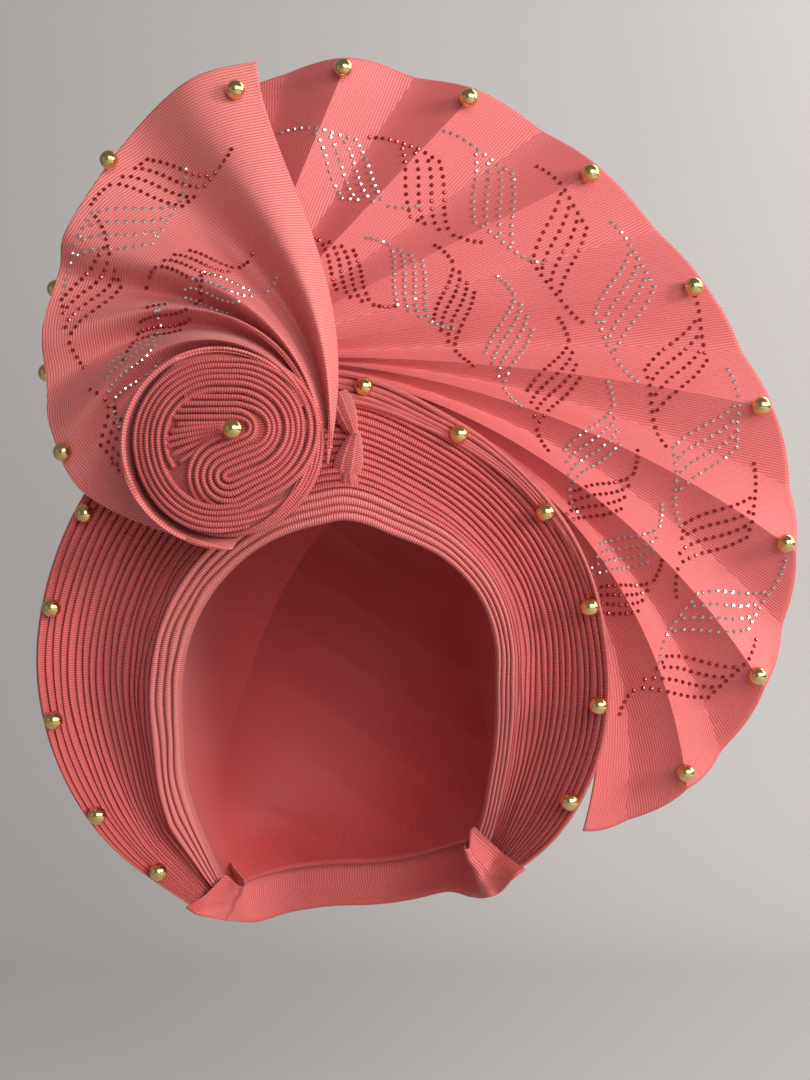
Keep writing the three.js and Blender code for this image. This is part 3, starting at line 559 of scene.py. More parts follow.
def pleated(patch, at, inner, outer, widths, front_of, rise, groove, wander, seed):
    """A strip of pleats side by side, running round the face. widths is a row for each angle."""
    count = widths.shape[1]
    edges = np.concatenate([np.zeros((len(at.angle), 1)), np.cumsum(widths, axis=1)], axis=1)
    edges /= edges[:, -1:]
    turn = np.radians(at.angle)
    for k in range(1, count):
        left = smooth((LOOSE_FROM - at.angle) / LOOSE_SPAN)
        loose = wander * (1 + LOOSE_MORE * max(0, 1 - k / LOOSE_PLEATS) * left)
        edges[:, k] += loose * ripple(seed + k, turn * EDGE_WAVES) / (outer - inner)
    shares = np.linspace(0, 1, PLEAT_STEPS + 1)
    for k in range(count):
        u = lerp(edges[:, k:k + 1], edges[:, k + 1:k + 2], shares)
        radius = lerp(inner[:, None], outer[:, None], u)
        full = np.minimum(1, widths[:, k:k + 1] / widths.max())
        change = HEIGHT_CHANGE * ripple(seed + HEIGHT_SEED + k, turn * HEIGHT_WAVES)
        height = rise * (1 + change[:, None]) * full
        y = front_of(u) - pleat_profile(shares) * (height + groove * full) + groove * full
        grid = around_face(at.angle[:, None], radius, y)
        crest = along(grid[:, PLEAT_STEPS // 2:PLEAT_STEPS // 2 + 1], 0)
        patch.add(grid, np.broadcast_to(crest, u.shape), along(grid, 1))
    return patch


BRIM_WANDER = 0.5
BRIM_SEED = 100
BRIM_EDGE_SWELL = 0.9
BRIM_EDGE_STEPS = 7
BRIM_BACK_STEPS = 16
# Widths of the innermost pleats at the right, and the angles between which they narrow
NARROW_WIDTHS = (0.55, 0.65, 0.8)
NARROW_FROM = 5
NARROW_SPAN = 50


def brim():
    at = Sections(np.linspace(FIRST_ANGLE, LAST_ANGLE, RING_STATIONS))
    to_right = smooth((at.angle - NARROW_FROM) / NARROW_SPAN)
    widths = np.ones((len(at.angle), BRIM_PLEATS))
    for k, kept in enumerate(NARROW_WIDTHS):
        widths[:, k] = lerp(1, kept, to_right)
    patch = Patch()
    pleated(
        patch, at, at.inner, at.rim, widths, at.brim_front,
        BRIM_RISE, BRIM_GROOVE, BRIM_WANDER, BRIM_SEED,
    )
    u = np.linspace(0, 1, BRIM_BACK_STEPS)
    radius = lerp(at.inner[:, None], at.rim[:, None], u)
    back = around_face(at.angle[:, None], radius, at.brim_front(u) + BRIM_WALL)
    patch.add(back, outward=(0, 1, 0))
    front = at.brim_front(np.array([0.0, 1.0]))
    for radius, column, rounding in ((at.rim, 1, BRIM_EDGE_SWELL), (at.inner, 0, 0)):
        t = np.linspace(0, 1, BRIM_EDGE_STEPS)
        swell = rounding * np.sin(math.pi * t)
        y = front[:, column, None] + lerp(BRIM_GROOVE, BRIM_WALL, t)
        edge = around_face(at.angle[:, None], radius[:, None] + swell, y)
        patch.add(edge, outward=(0, 0, 1))
    return patch.build("brim_cloth_pleats", "brim_cloth", replaces=("brim",))


BAND_GROOVE = 0.9
BAND_WANDER = 0.3
BAND_SEED = 300
BAND_STEPS = 5
# How far back the folds lie, everywhere and more at the right, and where that starts
BAND_BACK = 0.2
BAND_RIGHT_BACK = 0.3
BAND_RIGHT_FROM = 15
BAND_RIGHT_SPAN = 40


def face_band():
    at = Sections(np.linspace(FIRST_ANGLE, LAST_ANGLE, RING_STATIONS))
    back_right = BAND_RIGHT_BACK * smooth((at.angle - BAND_RIGHT_FROM) / BAND_RIGHT_SPAN)[:, None]
    widths = np.ones((len(at.angle), BAND_FOLDS))
    outer = at.face + at.width
    patch = Patch()

    def front_of(u):
        return at.front[:, None] + BAND_BACK + back_right + 0 * u

    pleated(
        patch, at, at.face, outer, widths, front_of,
        BAND_RISE, BAND_GROOVE, BAND_WANDER, BAND_SEED,
    )
    t = np.linspace(0, 1, BAND_STEPS)
    depth = BAND_DEPTH - BAND_GROOVE - BAND_RIGHT_BACK
    deep = at.front[:, None] + BAND_GROOVE + back_right + t * depth
    inside = around_face(at.angle[:, None], at.face[:, None] + 0 * t, deep)
    patch.add(inside, outward=(0, 0, 1))
    outside = around_face(at.angle[:, None], outer[:, None] + 0 * t, deep)
    patch.add(outside)
    radius = lerp(at.face[:, None], outer[:, None], t)
    back = around_face(at.angle[:, None], radius, deep[:, -1:] + 0 * t)
    patch.add(back, outward=(0, 1, 0))
    return patch.build("face_band_folds", "band_cloth", replaces=("face_band",))


# Cap and nape


def head_reach(direction):
    return (np.abs(direction / HEAD_HALF) ** HEAD_ROUNDNESS).sum(-1) ** (-1 / HEAD_ROUNDNESS)


def crown_rim(outside, stations, nape_steps):
    at = Sections(np.linspace(FIRST_ANGLE, LAST_ANGLE, stations))
    y = at.front + BAND_DEPTH + GAP
    rim = around_face(at.angle, at.face + CROWN_INSET + outside, y)
    turn = math.pi * np.arange(1, nape_steps + 1) / (nape_steps + 1)
    side = np.where(np.cos(turn)[:, None] >= 0, rim[-1], rim[0])
    x = np.abs(side[:, 0]) * np.cos(turn)
    back = lerp(side[:, 1], NAPE_BACK + outside, np.sin(turn))
    down = lerp(side[:, 2], -NAPE_DROP, np.sin(turn) ** 2)
    return rim, points(x, back, down)


def crown_points(rim, shares, grow):
    """Points on the cap from a ring of rim points up towards its pole, a row for each share."""
    start = rim - HEAD_CENTRE
    length = np.linalg.norm(start, axis=-1, keepdims=True)
    direction = start / length
    angle = np.arccos(np.clip(direction @ POLE, -1, 1))[:, None]
    t = np.asarray(shares)[:, None, None]
    turned = direction * np.sin((1 - t) * angle) + POLE * np.sin(t * angle)
    turned /= np.linalg.norm(turned, axis=-1, keepdims=True)
    lift = length[:, 0] - head_reach(direction) - grow
    reach = head_reach(turned) + grow + lift * (1 - t[..., 0]) ** 2
    return HEAD_CENTRE + turned * reach[..., None]


CROWN_STATIONS = 150
CROWN_NAPE_STEPS = 70
CROWN_ROWS = 90
CROWN_TOP = 0.995
# The wraps of the cap's cloth: spacing, height, sharpness, slant, and the sway of their lines
WRAP_SPACING = 11
WRAP_HEIGHT = 1.5
WRAP_SHARPNESS = 0.7
WRAP_SLANT = 0.35
WRAP_SWAY = 9
WRAP_SWAY_SPAN = 40
WRAP_WANDER = 0.4
WRAP_WANDER_SPAN = 35
WRAP_SEED = 7
# Shares of the way up in which the wraps fade, from the rim and from the top
WRAP_RIM_FADE = 0.12
WRAP_TOP_FADE = 0.1


def crown():
    rim, nape = crown_rim(CROWN_WALL, CROWN_STATIONS, CROWN_NAPE_STEPS)
    ring = np.concatenate([rim, nape, rim[:1]])
    shares = np.linspace(0, CROWN_TOP, CROWN_ROWS)
    grid = crown_points(ring, shares, CROWN_WALL)
    away = grid - HEAD_CENTRE
    away /= np.linalg.norm(away, axis=-1, keepdims=True)
    x, z = grid[..., 0], grid[..., 2]
    slant = z + WRAP_SLANT * x + WRAP_SWAY * np.sin(x / WRAP_SWAY_SPAN)
    wander = WRAP_WANDER * ripple(WRAP_SEED, x / WRAP_WANDER_SPAN)
    wraps = np.abs(np.sin(slant / WRAP_SPACING + wander)) ** WRAP_SHARPNESS
    t = shares[:, None]
    fade = smooth(t / WRAP_RIM_FADE) * smooth((1 - t) / WRAP_TOP_FADE)
    grid = grid + away * (WRAP_HEIGHT * (wraps - 0.5) * fade)[..., None]
    patch = Patch()
    patch.add(grid, along(grid, 1), along(grid, 0), outward="centre")
    return patch.build("crown_wrap", "crown_cloth", CROWN_WALL, ("crown",))


NAPE_SHARES = (0.04, 0.08)
# How far the nape band hangs at its right and left ends
NAPE_END_HANGS = (26.5, 16)
# Turned ends of the nape band at the right and the left: degrees past the brim at the face and
# at the rim, share of the turn back, and how far the end swells out past the rim and into the face
RIGHT_ENDS = [(1.5, 1.5, 0.5, 6, 1), (3, 5, 1, 5, 2)]
LEFT_ENDS = [(1.5, 1.5, 0.5, 0, 7), (3, 3, 1, 0, 9)]
# How far each end reaches over the brim's pleats in degrees, at the rim, between and at the face
CUFF_REACHES = (6, 4, 2.5)
# How far a cuff lies ahead of the brim, and stands out past its rim and in past the band
CUFF_AHEAD = 3.0
CUFF_OUT = 0.8
CUFF_IN = 1
# The nape band's mesh and its folds: how many, how high, and the wander of their lines
NAPE_RUN_STEPS = 160
NAPE_ACROSS_STEPS = 24
NAPE_FOLDS = 2.5
NAPE_FOLD_HEIGHT = 1.0
NAPE_WANDER = 0.5
NAPE_WANDER_SPAN = 40
NAPE_SEED = 11
NAPE_CLOTH = 1.4


def nape_cuff(angle, side, share):
    """The end of the nape band laid over the ends of the brim's pleats, at a share of its reach."""
    at = Sections(np.array([angle - side * CUFF_REACHES[0]]))
    y = at.brim_front(np.array([1.0, 0.5, 0.0]))[0] - CUFF_AHEAD
    radii = (at.rim[0] + CUFF_OUT, lerp(at.rim[0], at.inner[0], 0.5), at.face[0] + CUFF_IN)
    places = [angle - side * reach * (1 - share) for reach in CUFF_REACHES]
    return np.stack([around_face(*row) for row in zip(places, radii, y)])


def nape_end(row, angle, side):
    """One row of points where the nape band turns back past an end of the brim."""
    at_face, at_rim, back, swell, into = row
    at = Sections(np.array([angle]))
    rim, face, y = at.rim[0] + swell, at.face[0] - into, at.rim_front[0] + back * NAPE_TURN
    reaches = (rim, lerp(rim, face, 0.5), face + GAP)
    turns = [angle + side * lerp(at_rim, at_face, j / 2) for j in range(3)]
    return np.stack([around_face(a, r, y - NAPE_WALL) for a, r in zip(turns, reaches)])


def nape_side(angle, side, ends):
    """Rows of points at one end of the nape band, from the tip of its cuff on."""
    cuff = [nape_cuff(angle, side, share) for share in (0, 0.5)]
    return np.stack(cuff + [nape_end(row, angle, side) for row in ends])


def nape_band():
    out = CROWN_WALL + GAP + NAPE_WALL
    _, nape = crown_rim(out, CROWN_STATIONS, NAPE_STEPS)
    upper = crown_points(nape, NAPE_SHARES, out)
    hang = np.zeros_like(nape)
    hang[:, 2] = NAPE_HANG
    hang[[0, -1], 2] = NAPE_END_HANGS
    hugging = np.stack([nape - hang, upper[0], upper[1]], axis=1)
    right = nape_side(LAST_ANGLE, 1, RIGHT_ENDS)
    left = nape_side(FIRST_ANGLE, -1, LEFT_ENDS)[::-1]
    controls = np.concatenate([right, hugging, left])
    places = np.linspace(0, len(controls) - 1, NAPE_RUN_STEPS)
    low, middle, high = (smooth_through(controls[:, j], places)[:, None] for j in range(3))
    across = np.linspace(0, 1, NAPE_ACROSS_STEPS)
    lower = np.clip(across * 2, 0, 1)[None, :, None]
    upper_share = np.clip(across * 2 - 1, 0, 1)[None, :, None]
    grid = lerp(low, middle, lower) + (high - middle) * upper_share
    away = grid - HEAD_CENTRE
    away[..., 2] = 0
    away /= np.linalg.norm(away, axis=-1, keepdims=True)
    run = along(grid, 0)
    fade = smooth(np.minimum(places, places[-1] - places) / 2)[:, None]
    wander = NAPE_WANDER * ripple(NAPE_SEED, run / NAPE_WANDER_SPAN)
    folds = np.abs(np.sin(across[None] * math.pi * NAPE_FOLDS + wander))
    grid = grid + away * (NAPE_FOLD_HEIGHT * (folds - 1) * fade)[..., None]
    patch = Patch()
    patch.add(grid, run, along(grid, 1), outward=(0, 0, 0))
    return patch.build("nape_strip", "nape_cloth", NAPE_CLOTH, ("nape_band",))


def smooth_through(controls, places):
    """A smooth curve through points, at places counted along them."""
    last = len(controls) - 1
    i = np.clip(np.floor(places).astype(int), 0, last - 1)
    t = (places - i)[:, None]
    a, b = controls[np.maximum(i - 1, 0)], controls[i]
    c, d = controls[i + 1], controls[np.minimum(i + 2, last)]
    return 0.5 * (2 * b + (c - a) * t + (2 * a - 5 * b + 4 * c - d) * t * t
                  + (3 * b - 3 * c + d - a) * t * t * t)


# Fan


def fan_at(row, b, t):
    """The fan at shares b of the way out, on a line with this row. t is 0 on a ridge and 1 in a
    valley, whose hem reaches a little further so that the rim looks evenly round."""
    hub_angle, rim_angle, reach, bend, ahead, fold = row
    reach = reach * FAN_REACH
    radius = lerp(FAN_HUB_RADIUS, reach * (1 + FAN_VALLEY * t + FAN_BULGE * math.sin(math.pi * t)), b)
    angle = np.radians(lerp(hub_angle, rim_angle, np.minimum(1, radius / reach) ** bend))
    base = -FAN_HUB_AHEAD * lerp(1, ahead, b)
    depth = fold * FAN_FOLD * lerp(FAN_HUB_FOLD, 1, b) / 2
    x = radius * np.cos(angle) - FAN_HUB_LEFT
    return points(x, base - depth, radius * np.sin(angle) + FAN_HUB_UP)


FAN_STEPS = 110
FAN_STEP_EASE = 0.9
FAN_PANEL_STEPS = 12
# How far the rim stands out in the valleys and between the folds, as shares of its reach
FAN_VALLEY = 0.009
FAN_BULGE = 0.005
# How much a panel curves from its ridge to its valley, and how much it sags
PANEL_CURVE = 1.4
PANEL_SAG = 0.5
PANEL_SEED = 40
PANEL_WAVES = 6
# Room behind the brim, and the thickness of the fan's and swirl's cloth
BEHIND_BRIM = 0.5
SHEET_CLOTH = 1.2
# A depth that stands for nothing there
FAR_AWAY = 1e3


def fan():
    b = np.linspace(0, 1, FAN_STEPS) ** FAN_STEP_EASE
    rows = np.array(FAN_LINES)
    patch = Patch()
    shares = np.linspace(0, 1, FAN_PANEL_STEPS + 1)
    for i in range(len(rows) - 1):
        between = smooth_through(rows, i + shares)
        from_ridge = rows[i, 5] > rows[i + 1, 5]
        ridge, valley = (rows[i, 5], rows[i + 1, 5]) if from_ridge else (rows[i + 1, 5], rows[i, 5])
        t = shares if from_ridge else shares[::-1]
        between[:, 5] = lerp(ridge, valley, 1 - (1 - t) ** PANEL_CURVE)
        grid = np.stack([fan_at(row, b, share) for row, share in zip(between, t)], axis=1)
        wave = PANEL_SAG * ripple(PANEL_SEED + i, PANEL_WAVES * b) * b
        grid[..., 1] += wave[:, None] * np.sin(math.pi * t)[None]
        front, share = brim_under(grid[..., 0], grid[..., 2], FAR_AWAY)
        behind = np.maximum(grid[..., 1], front + BRIM_WALL + BEHIND_BRIM)
        grid[..., 1] = np.where((share > 0) & (share <= 1), behind, grid[..., 1])
        run = along(grid, 1)
        u = run if from_ridge else run[:, -1:] - run
        patch.add(grid, u, along(grid, 0))
    return patch.build("fan_folds", "fan_cloth", SHEET_CLOTH, ("fan",), FAN_CREASE)


# Swirl

SWIRL_STEPS = 190
SWIRL_BETWEEN = 14
# How much deeper the valleys are halfway out
SWIRL_VALLEY = 0.7


def swirl_line(row, b):
    """Points of one fold line of the swirl, at shares b of the way out."""
    start, core, end, reach, climb, ahead, rim_ahead, fold = row
    rho = b ** climb
    radius = lerp(core * SWIRL_CORE, reach * SWIRL_REACH, rho)
    angle = np.radians(lerp(start, end, 1 - (1 - b) ** SWIRL_SWEEP))
    ease = (1 - np.exp(-SWIRL_EASE * rho)) / (1 - math.exp(-SWIRL_EASE))
    y = -SWIRL_AHEAD * lerp(ahead, rim_ahead, ease)
    grown = np.sin(math.pi / 2 * np.minimum(b / SWIRL_FOLD_PEAK, 1))
    fading = smooth((b - SWIRL_FOLD_PEAK) / (1 - SWIRL_FOLD_PEAK))
    share = lerp(SWIRL_FOLD_START, 1, grown) * lerp(1, SWIRL_FOLD_END, fading)
    if fold < 0:
        share = share * (1 + SWIRL_VALLEY * np.sin(math.pi * b))
    x = radius * np.cos(angle) - ROSETTE_LEFT
    return points(x, y - fold * SWIRL_FOLD * share, radius * np.sin(angle) + ROSETTE_UP)


def swirl():
    b = np.linspace(0, 1, SWIRL_STEPS)
    controls = np.stack([swirl_line(row, b) for row in SWIRL_LINES])
    places = np.linspace(0, len(SWIRL_LINES) - 1, SWIRL_BETWEEN * (len(SWIRL_LINES) - 1) + 1)
    flat = controls.reshape(len(SWIRL_LINES), -1)
    grid = smooth_through(flat, places).reshape(len(places), SWIRL_STEPS, 3)
    starts = np.radians(np.interp(places, range(len(SWIRL_LINES)), [row[0] for row in SWIRL_LINES]))
    patch = Patch()
    ribs = along(grid, 1) + starts[:, None] * SWIRL_CORE
    patch.add(grid.transpose(1, 0, 2), ribs.T, along(grid, 0).T)
    return patch.build("swirl_folds", "swirl_cloth", SHEET_CLOTH, ("swirl",))


# Rosette


ARC_STEP = 4
FEWEST_POINTS = 4
SOFTENINGS = 3


def rosette_front(x, z):
    share = np.hypot(x, z / ROSETTE_HEIGHT) / ROSETTE_RADIUS
    return -ROSETTE_AHEAD - ROSETTE_DOME * (1 - share * share)


def arc(centre, radius, start, end, radius_z=None):
    """Points round a centre in the rosette's plane, from one angle to another in degrees."""
    turn = np.radians(np.linspace(start, end, max(2, int(abs(end - start) / ARC_STEP) + 1)))
    high = radius if radius_z is None else radius_z
    return np.stack([centre[0] + radius * np.cos(turn), centre[1] + high * np.sin(turn)], -1)


def stepped(pair, i):
    """The i-th of values that start at the first number and grow by the second."""
    return pair[0] + pair[1] * i


def spot(x, z):
    return np.array([[x, z]], float)


FIRST_CENTRE = np.array([7.6, 5.9])
SECOND_CENTRE = np.array([4.3, -14.9])
RING_CENTRE = np.array([-1.0, 1.0])
FOLD_TILT = 67
CENTRE_SPAN = 17.85
TURN_STEPS = 40
# How fast the bunches at the right thin out above and below
BUNCH_NARROWNESS = 1.25
# Pleats round the first centre, from the bead outwards: their radius above it, and beside it on
# the right, where they bunch together with dark slots between the bunches
TURNS = [
    (4.5, 6.6), (7.4, 8.7), (10.3, 14.3), (13.2, 16.3), (16.1, 18.4), (19.4, 21.9),
    (21.9, 24.1), (24.4, 26.4), (26.9, 28.5), (29.4, 31.7), (31.9, 34.5),
]
INNER_TURNS = 5
# Rings round the left and the bottom: radius beside, below and below to the right, and last angle
RINGS = [
    (24.6, 29.0, 40.3, 285),
    (27.2, 31.5, 41.7, 285),
    (29.8, 34.0, 43.1, 314),
    (32.4, 36.5, 44.5, 302),
    (35.0, 39.0, 45.9, 288),
]
# Left ends of the pleats that turn round the first centre, and of the cut ones below: x, z
CUT_ENDS = [-19.8, -17.7, -15.9, -14.5]
STUBS = [(-17.6, 7.2), (-20.4, 4.2), (-23.3, 0.8), (-22.6, -2.5), (-20.1, -5.8), (-16.6, -8.8)]
# Right ends of the cut ones, x and z: the first one's, and how much each next one's differs
STUB_X = (3.5, -0.8)
STUB_Z = (8.3, -1.3)
# The ring that the fifth pleat starts on: its radius and first angle
START_RING = (21.5, 215)
# Where the first pleat ends round the second centre
FIRST_END = 250
# Last turns round the first centre, index and angles: the fifth pleat's and the ring that it goes
# on to, and the fourth's
OUTER_TURN = (9, -60, 90)
OUTER_RING = 4
CUT_TURN = (10, -58, 78)
# The pleat inside both bends of the S: its start, and its radius and last angle round the second
# centre
BETWEEN_START = np.array([[0.6, -1.5]])
BETWEEN_RADIUS = 16.4
BETWEEN_END = 235
# How far the two ends of the pleats sink
PLEAT_SINKS = (0.0, 3.0)
BETWEEN_SINKS = (3.0, 3.0)
STUB_SINKS = (0.0, 2.5)


def first_turn(index, start, end):
    """A pleat's turn round the first centre, between two angles in degrees."""
    above, beside = TURNS[index]
    turn = np.radians(np.linspace(start, end, TURN_STEPS))
    bunch_turn = np.clip(BUNCH_NARROWNESS * turn, -math.pi / 2, math.pi / 2)
    near_right = np.maximum(0, np.cos(bunch_turn)) ** 2
    radius = lerp(above, beside, near_right)[:, None]
    return FIRST_CENTRE + radius * np.stack([np.cos(turn), np.sin(turn)], -1)


def ring(index, above):
    """A ring from above the first centre round the left and the bottom."""
    side, low, right, end = RINGS[index]
    top = FIRST_CENTRE[1] + above - RING_CENTRE[1]
    upper = arc(RING_CENTRE, side, 90, 180, top)
    lower = arc(RING_CENTRE, side, 180, 270, low)
    return [upper, lower, arc(RING_CENTRE, right, 270, end, low)]


def outer_route(k):
    """A pleat's way on: round the second centre, back over the first one and into the rings."""
    index = 2 * INNER_TURNS - 1 - k
    far = CENTRE_SPAN - TURNS[k][0]
    route = [arc(SECOND_CENTRE, far, 180 - FOLD_TILT, 360 - FOLD_TILT)]
    route.append(first_turn(index, -FOLD_TILT, 90))
    ring_index = index - INNER_TURNS
    route += ring(ring_index, TURNS[index][0])
    if ring_index == 0:
        route.append(first_turn(*OUTER_TURN))
        route += ring(OUTER_RING, TURNS[OUTER_TURN[0]][0])
    if ring_index == 1:
        route.append(first_turn(*CUT_TURN))
    return route


def rosette_paths():
    """Routes of the wound pleats, each in parts, and how far both ends sink."""
    paths = []
    for k in range(INNER_TURNS):
        near = TURNS[k][0]
        top = FIRST_CENTRE[1] + near
        if k < len(CUT_ENDS):
            route = [spot(CUT_ENDS[k], top)]
        else:
            radius, start = START_RING
            route = [arc(RING_CENTRE, radius, start, 90, top - RING_CENTRE[1])]
        route.append(first_turn(k, 90, -FOLD_TILT))
        if k == 0:
            route.append(arc(SECOND_CENTRE, CENTRE_SPAN - near, 180 - FOLD_TILT, FIRST_END))
        else:
            route += outer_route(k)
        paths.append((route, PLEAT_SINKS))
    inside = arc(SECOND_CENTRE, BETWEEN_RADIUS, 180 - FOLD_TILT, BETWEEN_END)
    paths.append(([FIRST_CENTRE + BETWEEN_START, inside], BETWEEN_SINKS))
    for i, (x, z) in enumerate(STUBS):
        right = spot(stepped(STUB_X, i), stepped(STUB_Z, i))
        paths.append(([spot(x, z), right], STUB_SINKS))
    return paths


def resampled(route, step):
    """A route at even steps with its corners softened, and the length run at each point."""
    run = np.concatenate([[0], np.cumsum(np.linalg.norm(np.diff(route, axis=0), axis=1))])
    wanted = np.linspace(0, run[-1], max(FEWEST_POINTS, int(run[-1] / step)))
    made = np.stack([np.interp(wanted, run, route[:, j]) for j in range(2)], -1)
    for _ in range(SOFTENINGS):
        made[1:-1] = (made[:-2] + 2 * made[1:-1] + made[2:]) / 4
    return made, wanted


PLEAT_ACROSS = np.array([-1, -0.97, -0.88, -0.7, -0.4, 0, 0.4, 0.7, 0.88, 0.97, 1])
PLEAT_DEPTH = 4.6
PLEAT_HALF = 1.42
PLEAT_BACK = 0.6
PLEAT_STEP = 0.9
# How round a pleat is, how much its width and its depth wander, and over what lengths
PLEAT_ROUNDNESS = 2.2
WIDTH_WANDER = 0.06
WIDTH_SPAN = 9
DEPTH_WANDER = 0.5
DEPTH_SPAN = 14
DEPTH_SEED = 9
# Over what length the start and the end of a pleat sink, and how short and deep its blunt tips are
SINK_START = 12
SINK_END = 16
TIP_LENGTH = 1.2
TIP_DEPTH = 1.6
ROSETTE_PLACE = (-ROSETTE_LEFT, ROSETTE_UP)


def pleat_strip(patch, route, sinks, halves, seed, front_of, place=ROSETTE_PLACE, lengthways=False):
    """One pleat along a route: a rounded ridge with its flanks down in the grooves. sinks and
    halves give how deep each end dips and the half width there. The ribs run across the pleat,
    or lengthways."""
    line, run = resampled(route, PLEAT_STEP)
    ahead = np.gradient(line, axis=0)
    ahead /= np.linalg.norm(ahead, axis=1, keepdims=True)
    side = np.stack([-ahead[:, 1], ahead[:, 0]], -1)
    wander = 1 + WIDTH_WANDER * ripple(seed, run / WIDTH_SPAN)
    width = lerp(halves[0], halves[1], run / run[-1]) * wander
    flat = line[:, None] + side[:, None] * (PLEAT_ACROSS * width[:, None])[..., None]
    drop = 1 - np.clip(1 - np.abs(PLEAT_ACROSS) ** PLEAT_ROUNDNESS, 0, 1) ** 0.5
    left = run[-1] - run
    ends = sinks[0] * (1 - smooth(run / SINK_START)) + sinks[1] * (1 - smooth(left / SINK_END))
    blunt = (1 - np.sqrt(np.clip(np.minimum(run, left) / TIP_LENGTH, 0, 1))) * TIP_DEPTH
    sway = DEPTH_WANDER * ripple(seed + DEPTH_SEED, run / DEPTH_SPAN)
    down = PLEAT_BACK + sway + ends + blunt
    y = (front_of(line[:, 0], line[:, 1]) + down)[:, None] + drop * PLEAT_DEPTH
    grid = points(flat[..., 0] + place[0], y, flat[..., 1] + place[1])
    here = np.broadcast_to(run[:, None], y.shape)
    patch.add(grid, *(along(grid, 1), here) if lengthways else (here, along(grid, 1)))


# Rolls under the rosette's edge: first and last angle, over what angle they move out, radius at the
# start and the end, and how far ahead they lie. A pair holds the first one's value and how much
# each next one's differs
ROLLS = 4
ROLL_FROM = -112
ROLL_TO = (29, -4)
ROLL_SPAN = 125
ROLL_START = (35.5, 0.9)
ROLL_END = (39.6, 1.5)
ROLL_AHEAD = (93, -1.3)
ROLL_HEIGHT = 1.02
ROLL_STEPS = 70
ROLL_SINKS = (4.0, 1.5)
ROLL_HALVES = (1.4, 1.0)
ROLL_SEED = 600


def start_rolls(patch):
    """Pleats that come from under the rosette and become the fold lines of the swirl."""
    for i in range(ROLLS):
        turn = np.linspace(ROLL_FROM, stepped(ROLL_TO, i), ROLL_STEPS)
        share = smooth((turn - ROLL_FROM) / ROLL_SPAN)
        radius = lerp(stepped(ROLL_START, i), stepped(ROLL_END, i), share)
        across, up = radius * np.cos(np.radians(turn)), radius * np.sin(np.radians(turn))
        route = np.stack([across, up * ROLL_HEIGHT], -1)

        def front_of(x, z):
            return -stepped(ROLL_AHEAD, i) + 0 * x

        pleat_strip(patch, route, ROLL_SINKS, ROLL_HALVES, ROLL_SEED + i, front_of)


# Gathers on the brim: first and last angle, distance in from the rim at both ends, in pairs too,
# how far ahead of the brim they lie, and half their width at both ends
GATHERS = 5
GATHER_FROM = -34
GATHER_TO = (46, 9)
GATHER_START_IN = (17, -3.9)
GATHER_END_IN = (7, -1.6)
GATHER_AHEAD = 5.2
GATHER_HALVES = (2.3, 0.9)
GATHER_STEPS = 140
GATHER_WANDER = 0.4
GATHER_WAVES = 9
GATHER_WANDER_SEED = 720
GATHER_SEED = 700


def gathers():
    """Fine folds of the fan's hem, laid along the top of the brim and thinning to the right."""
    patch = Patch()

    def front_of(x, z):
        return brim_under(x, z, 0)[0] - GATHER_AHEAD

    for i in range(GATHERS):
        turn = np.linspace(GATHER_FROM, stepped(GATHER_TO, i), GATHER_STEPS)
        share = smooth((turn - GATHER_FROM) / (turn[-1] - GATHER_FROM))
        inward = lerp(stepped(GATHER_START_IN, i), stepped(GATHER_END_IN, i), share)
        wander = GATHER_WANDER * ripple(GATHER_WANDER_SEED + i, share * GATHER_WAVES)
        route = around_face(turn, Sections(turn).rim - inward + wander, 0)[:, [0, 2]]
        seed = GATHER_SEED + i
        pleat_strip(patch, route, PLEAT_SINKS, GATHER_HALVES, seed, front_of, (0, 0), True)
    return patch.build("fan_gathers", "fan_cloth", look="brim_cloth")


ROSETTE_SEED = 500
ROSETTE_STEPS = 145
FLOOR_RINGS = 12
SIDE_RINGS = 14
BACK_RINGS = 10
# The rosette's hub hole, how far its side starts behind the front and ends ahead of the brim, and
# how high the layers on its side are and how close together
HUB_HOLE = 0.5
SIDE_BACK = 1.4
SIDE_CLEAR = 2.5
SIDE_LAYER = 0.00875
SIDE_LAYERS = 9


def rosette():
    patch = Patch()
    for i, (parts, sinks) in enumerate(rosette_paths()):
        route, halves = np.concatenate(parts), (PLEAT_HALF, PLEAT_HALF)
        pleat_strip(patch, route, sinks, halves, ROSETTE_SEED + i, rosette_front)
    start_rolls(patch)
    turn = np.linspace(0, 2 * math.pi, ROSETTE_STEPS)[None]

    def placed(radius, y):
        x, z = radius * np.cos(turn), radius * np.sin(turn) * ROSETTE_HEIGHT
        return points(x - ROSETTE_LEFT, y(x, z), z + ROSETTE_UP)

    def disc(rings, y, outward):
        r = np.linspace(HUB_HOLE, ROSETTE_RADIUS, rings)[:, None]
        patch.add(placed(r, y), r * turn, r + 0 * turn, outward)

    disc(FLOOR_RINGS, lambda x, z: rosette_front(x, z) + PLEAT_DEPTH, (0, -1, 0))
    edge = placed(np.array([[ROSETTE_RADIUS]]), rosette_front)
    seat, _ = brim_under(edge[..., 0], edge[..., 2], -ROSETTE_BACK)
    down = np.linspace(0, 1, SIDE_RINGS)[:, None]
    y = lerp(edge[..., 1] + SIDE_BACK, np.minimum(seat - SIDE_CLEAR, -ROSETTE_BACK), down)
    layers = 1 + SIDE_LAYER * np.abs(np.sin(down * SIDE_LAYERS))
    side = placed(ROSETTE_RADIUS * layers, lambda x, z: y)
    patch.add(side, ROSETTE_RADIUS * turn + 0 * down, (y - y[0]) + 0 * turn, outward=(0, 0, 0))
    disc(BACK_RINGS, lambda x, z: y[-1:] + 0 * x, (0, 1, 0))
    return patch.build("rosette_pleats", "rosette_cloth", replaces=("rosette",))


# Side tuck

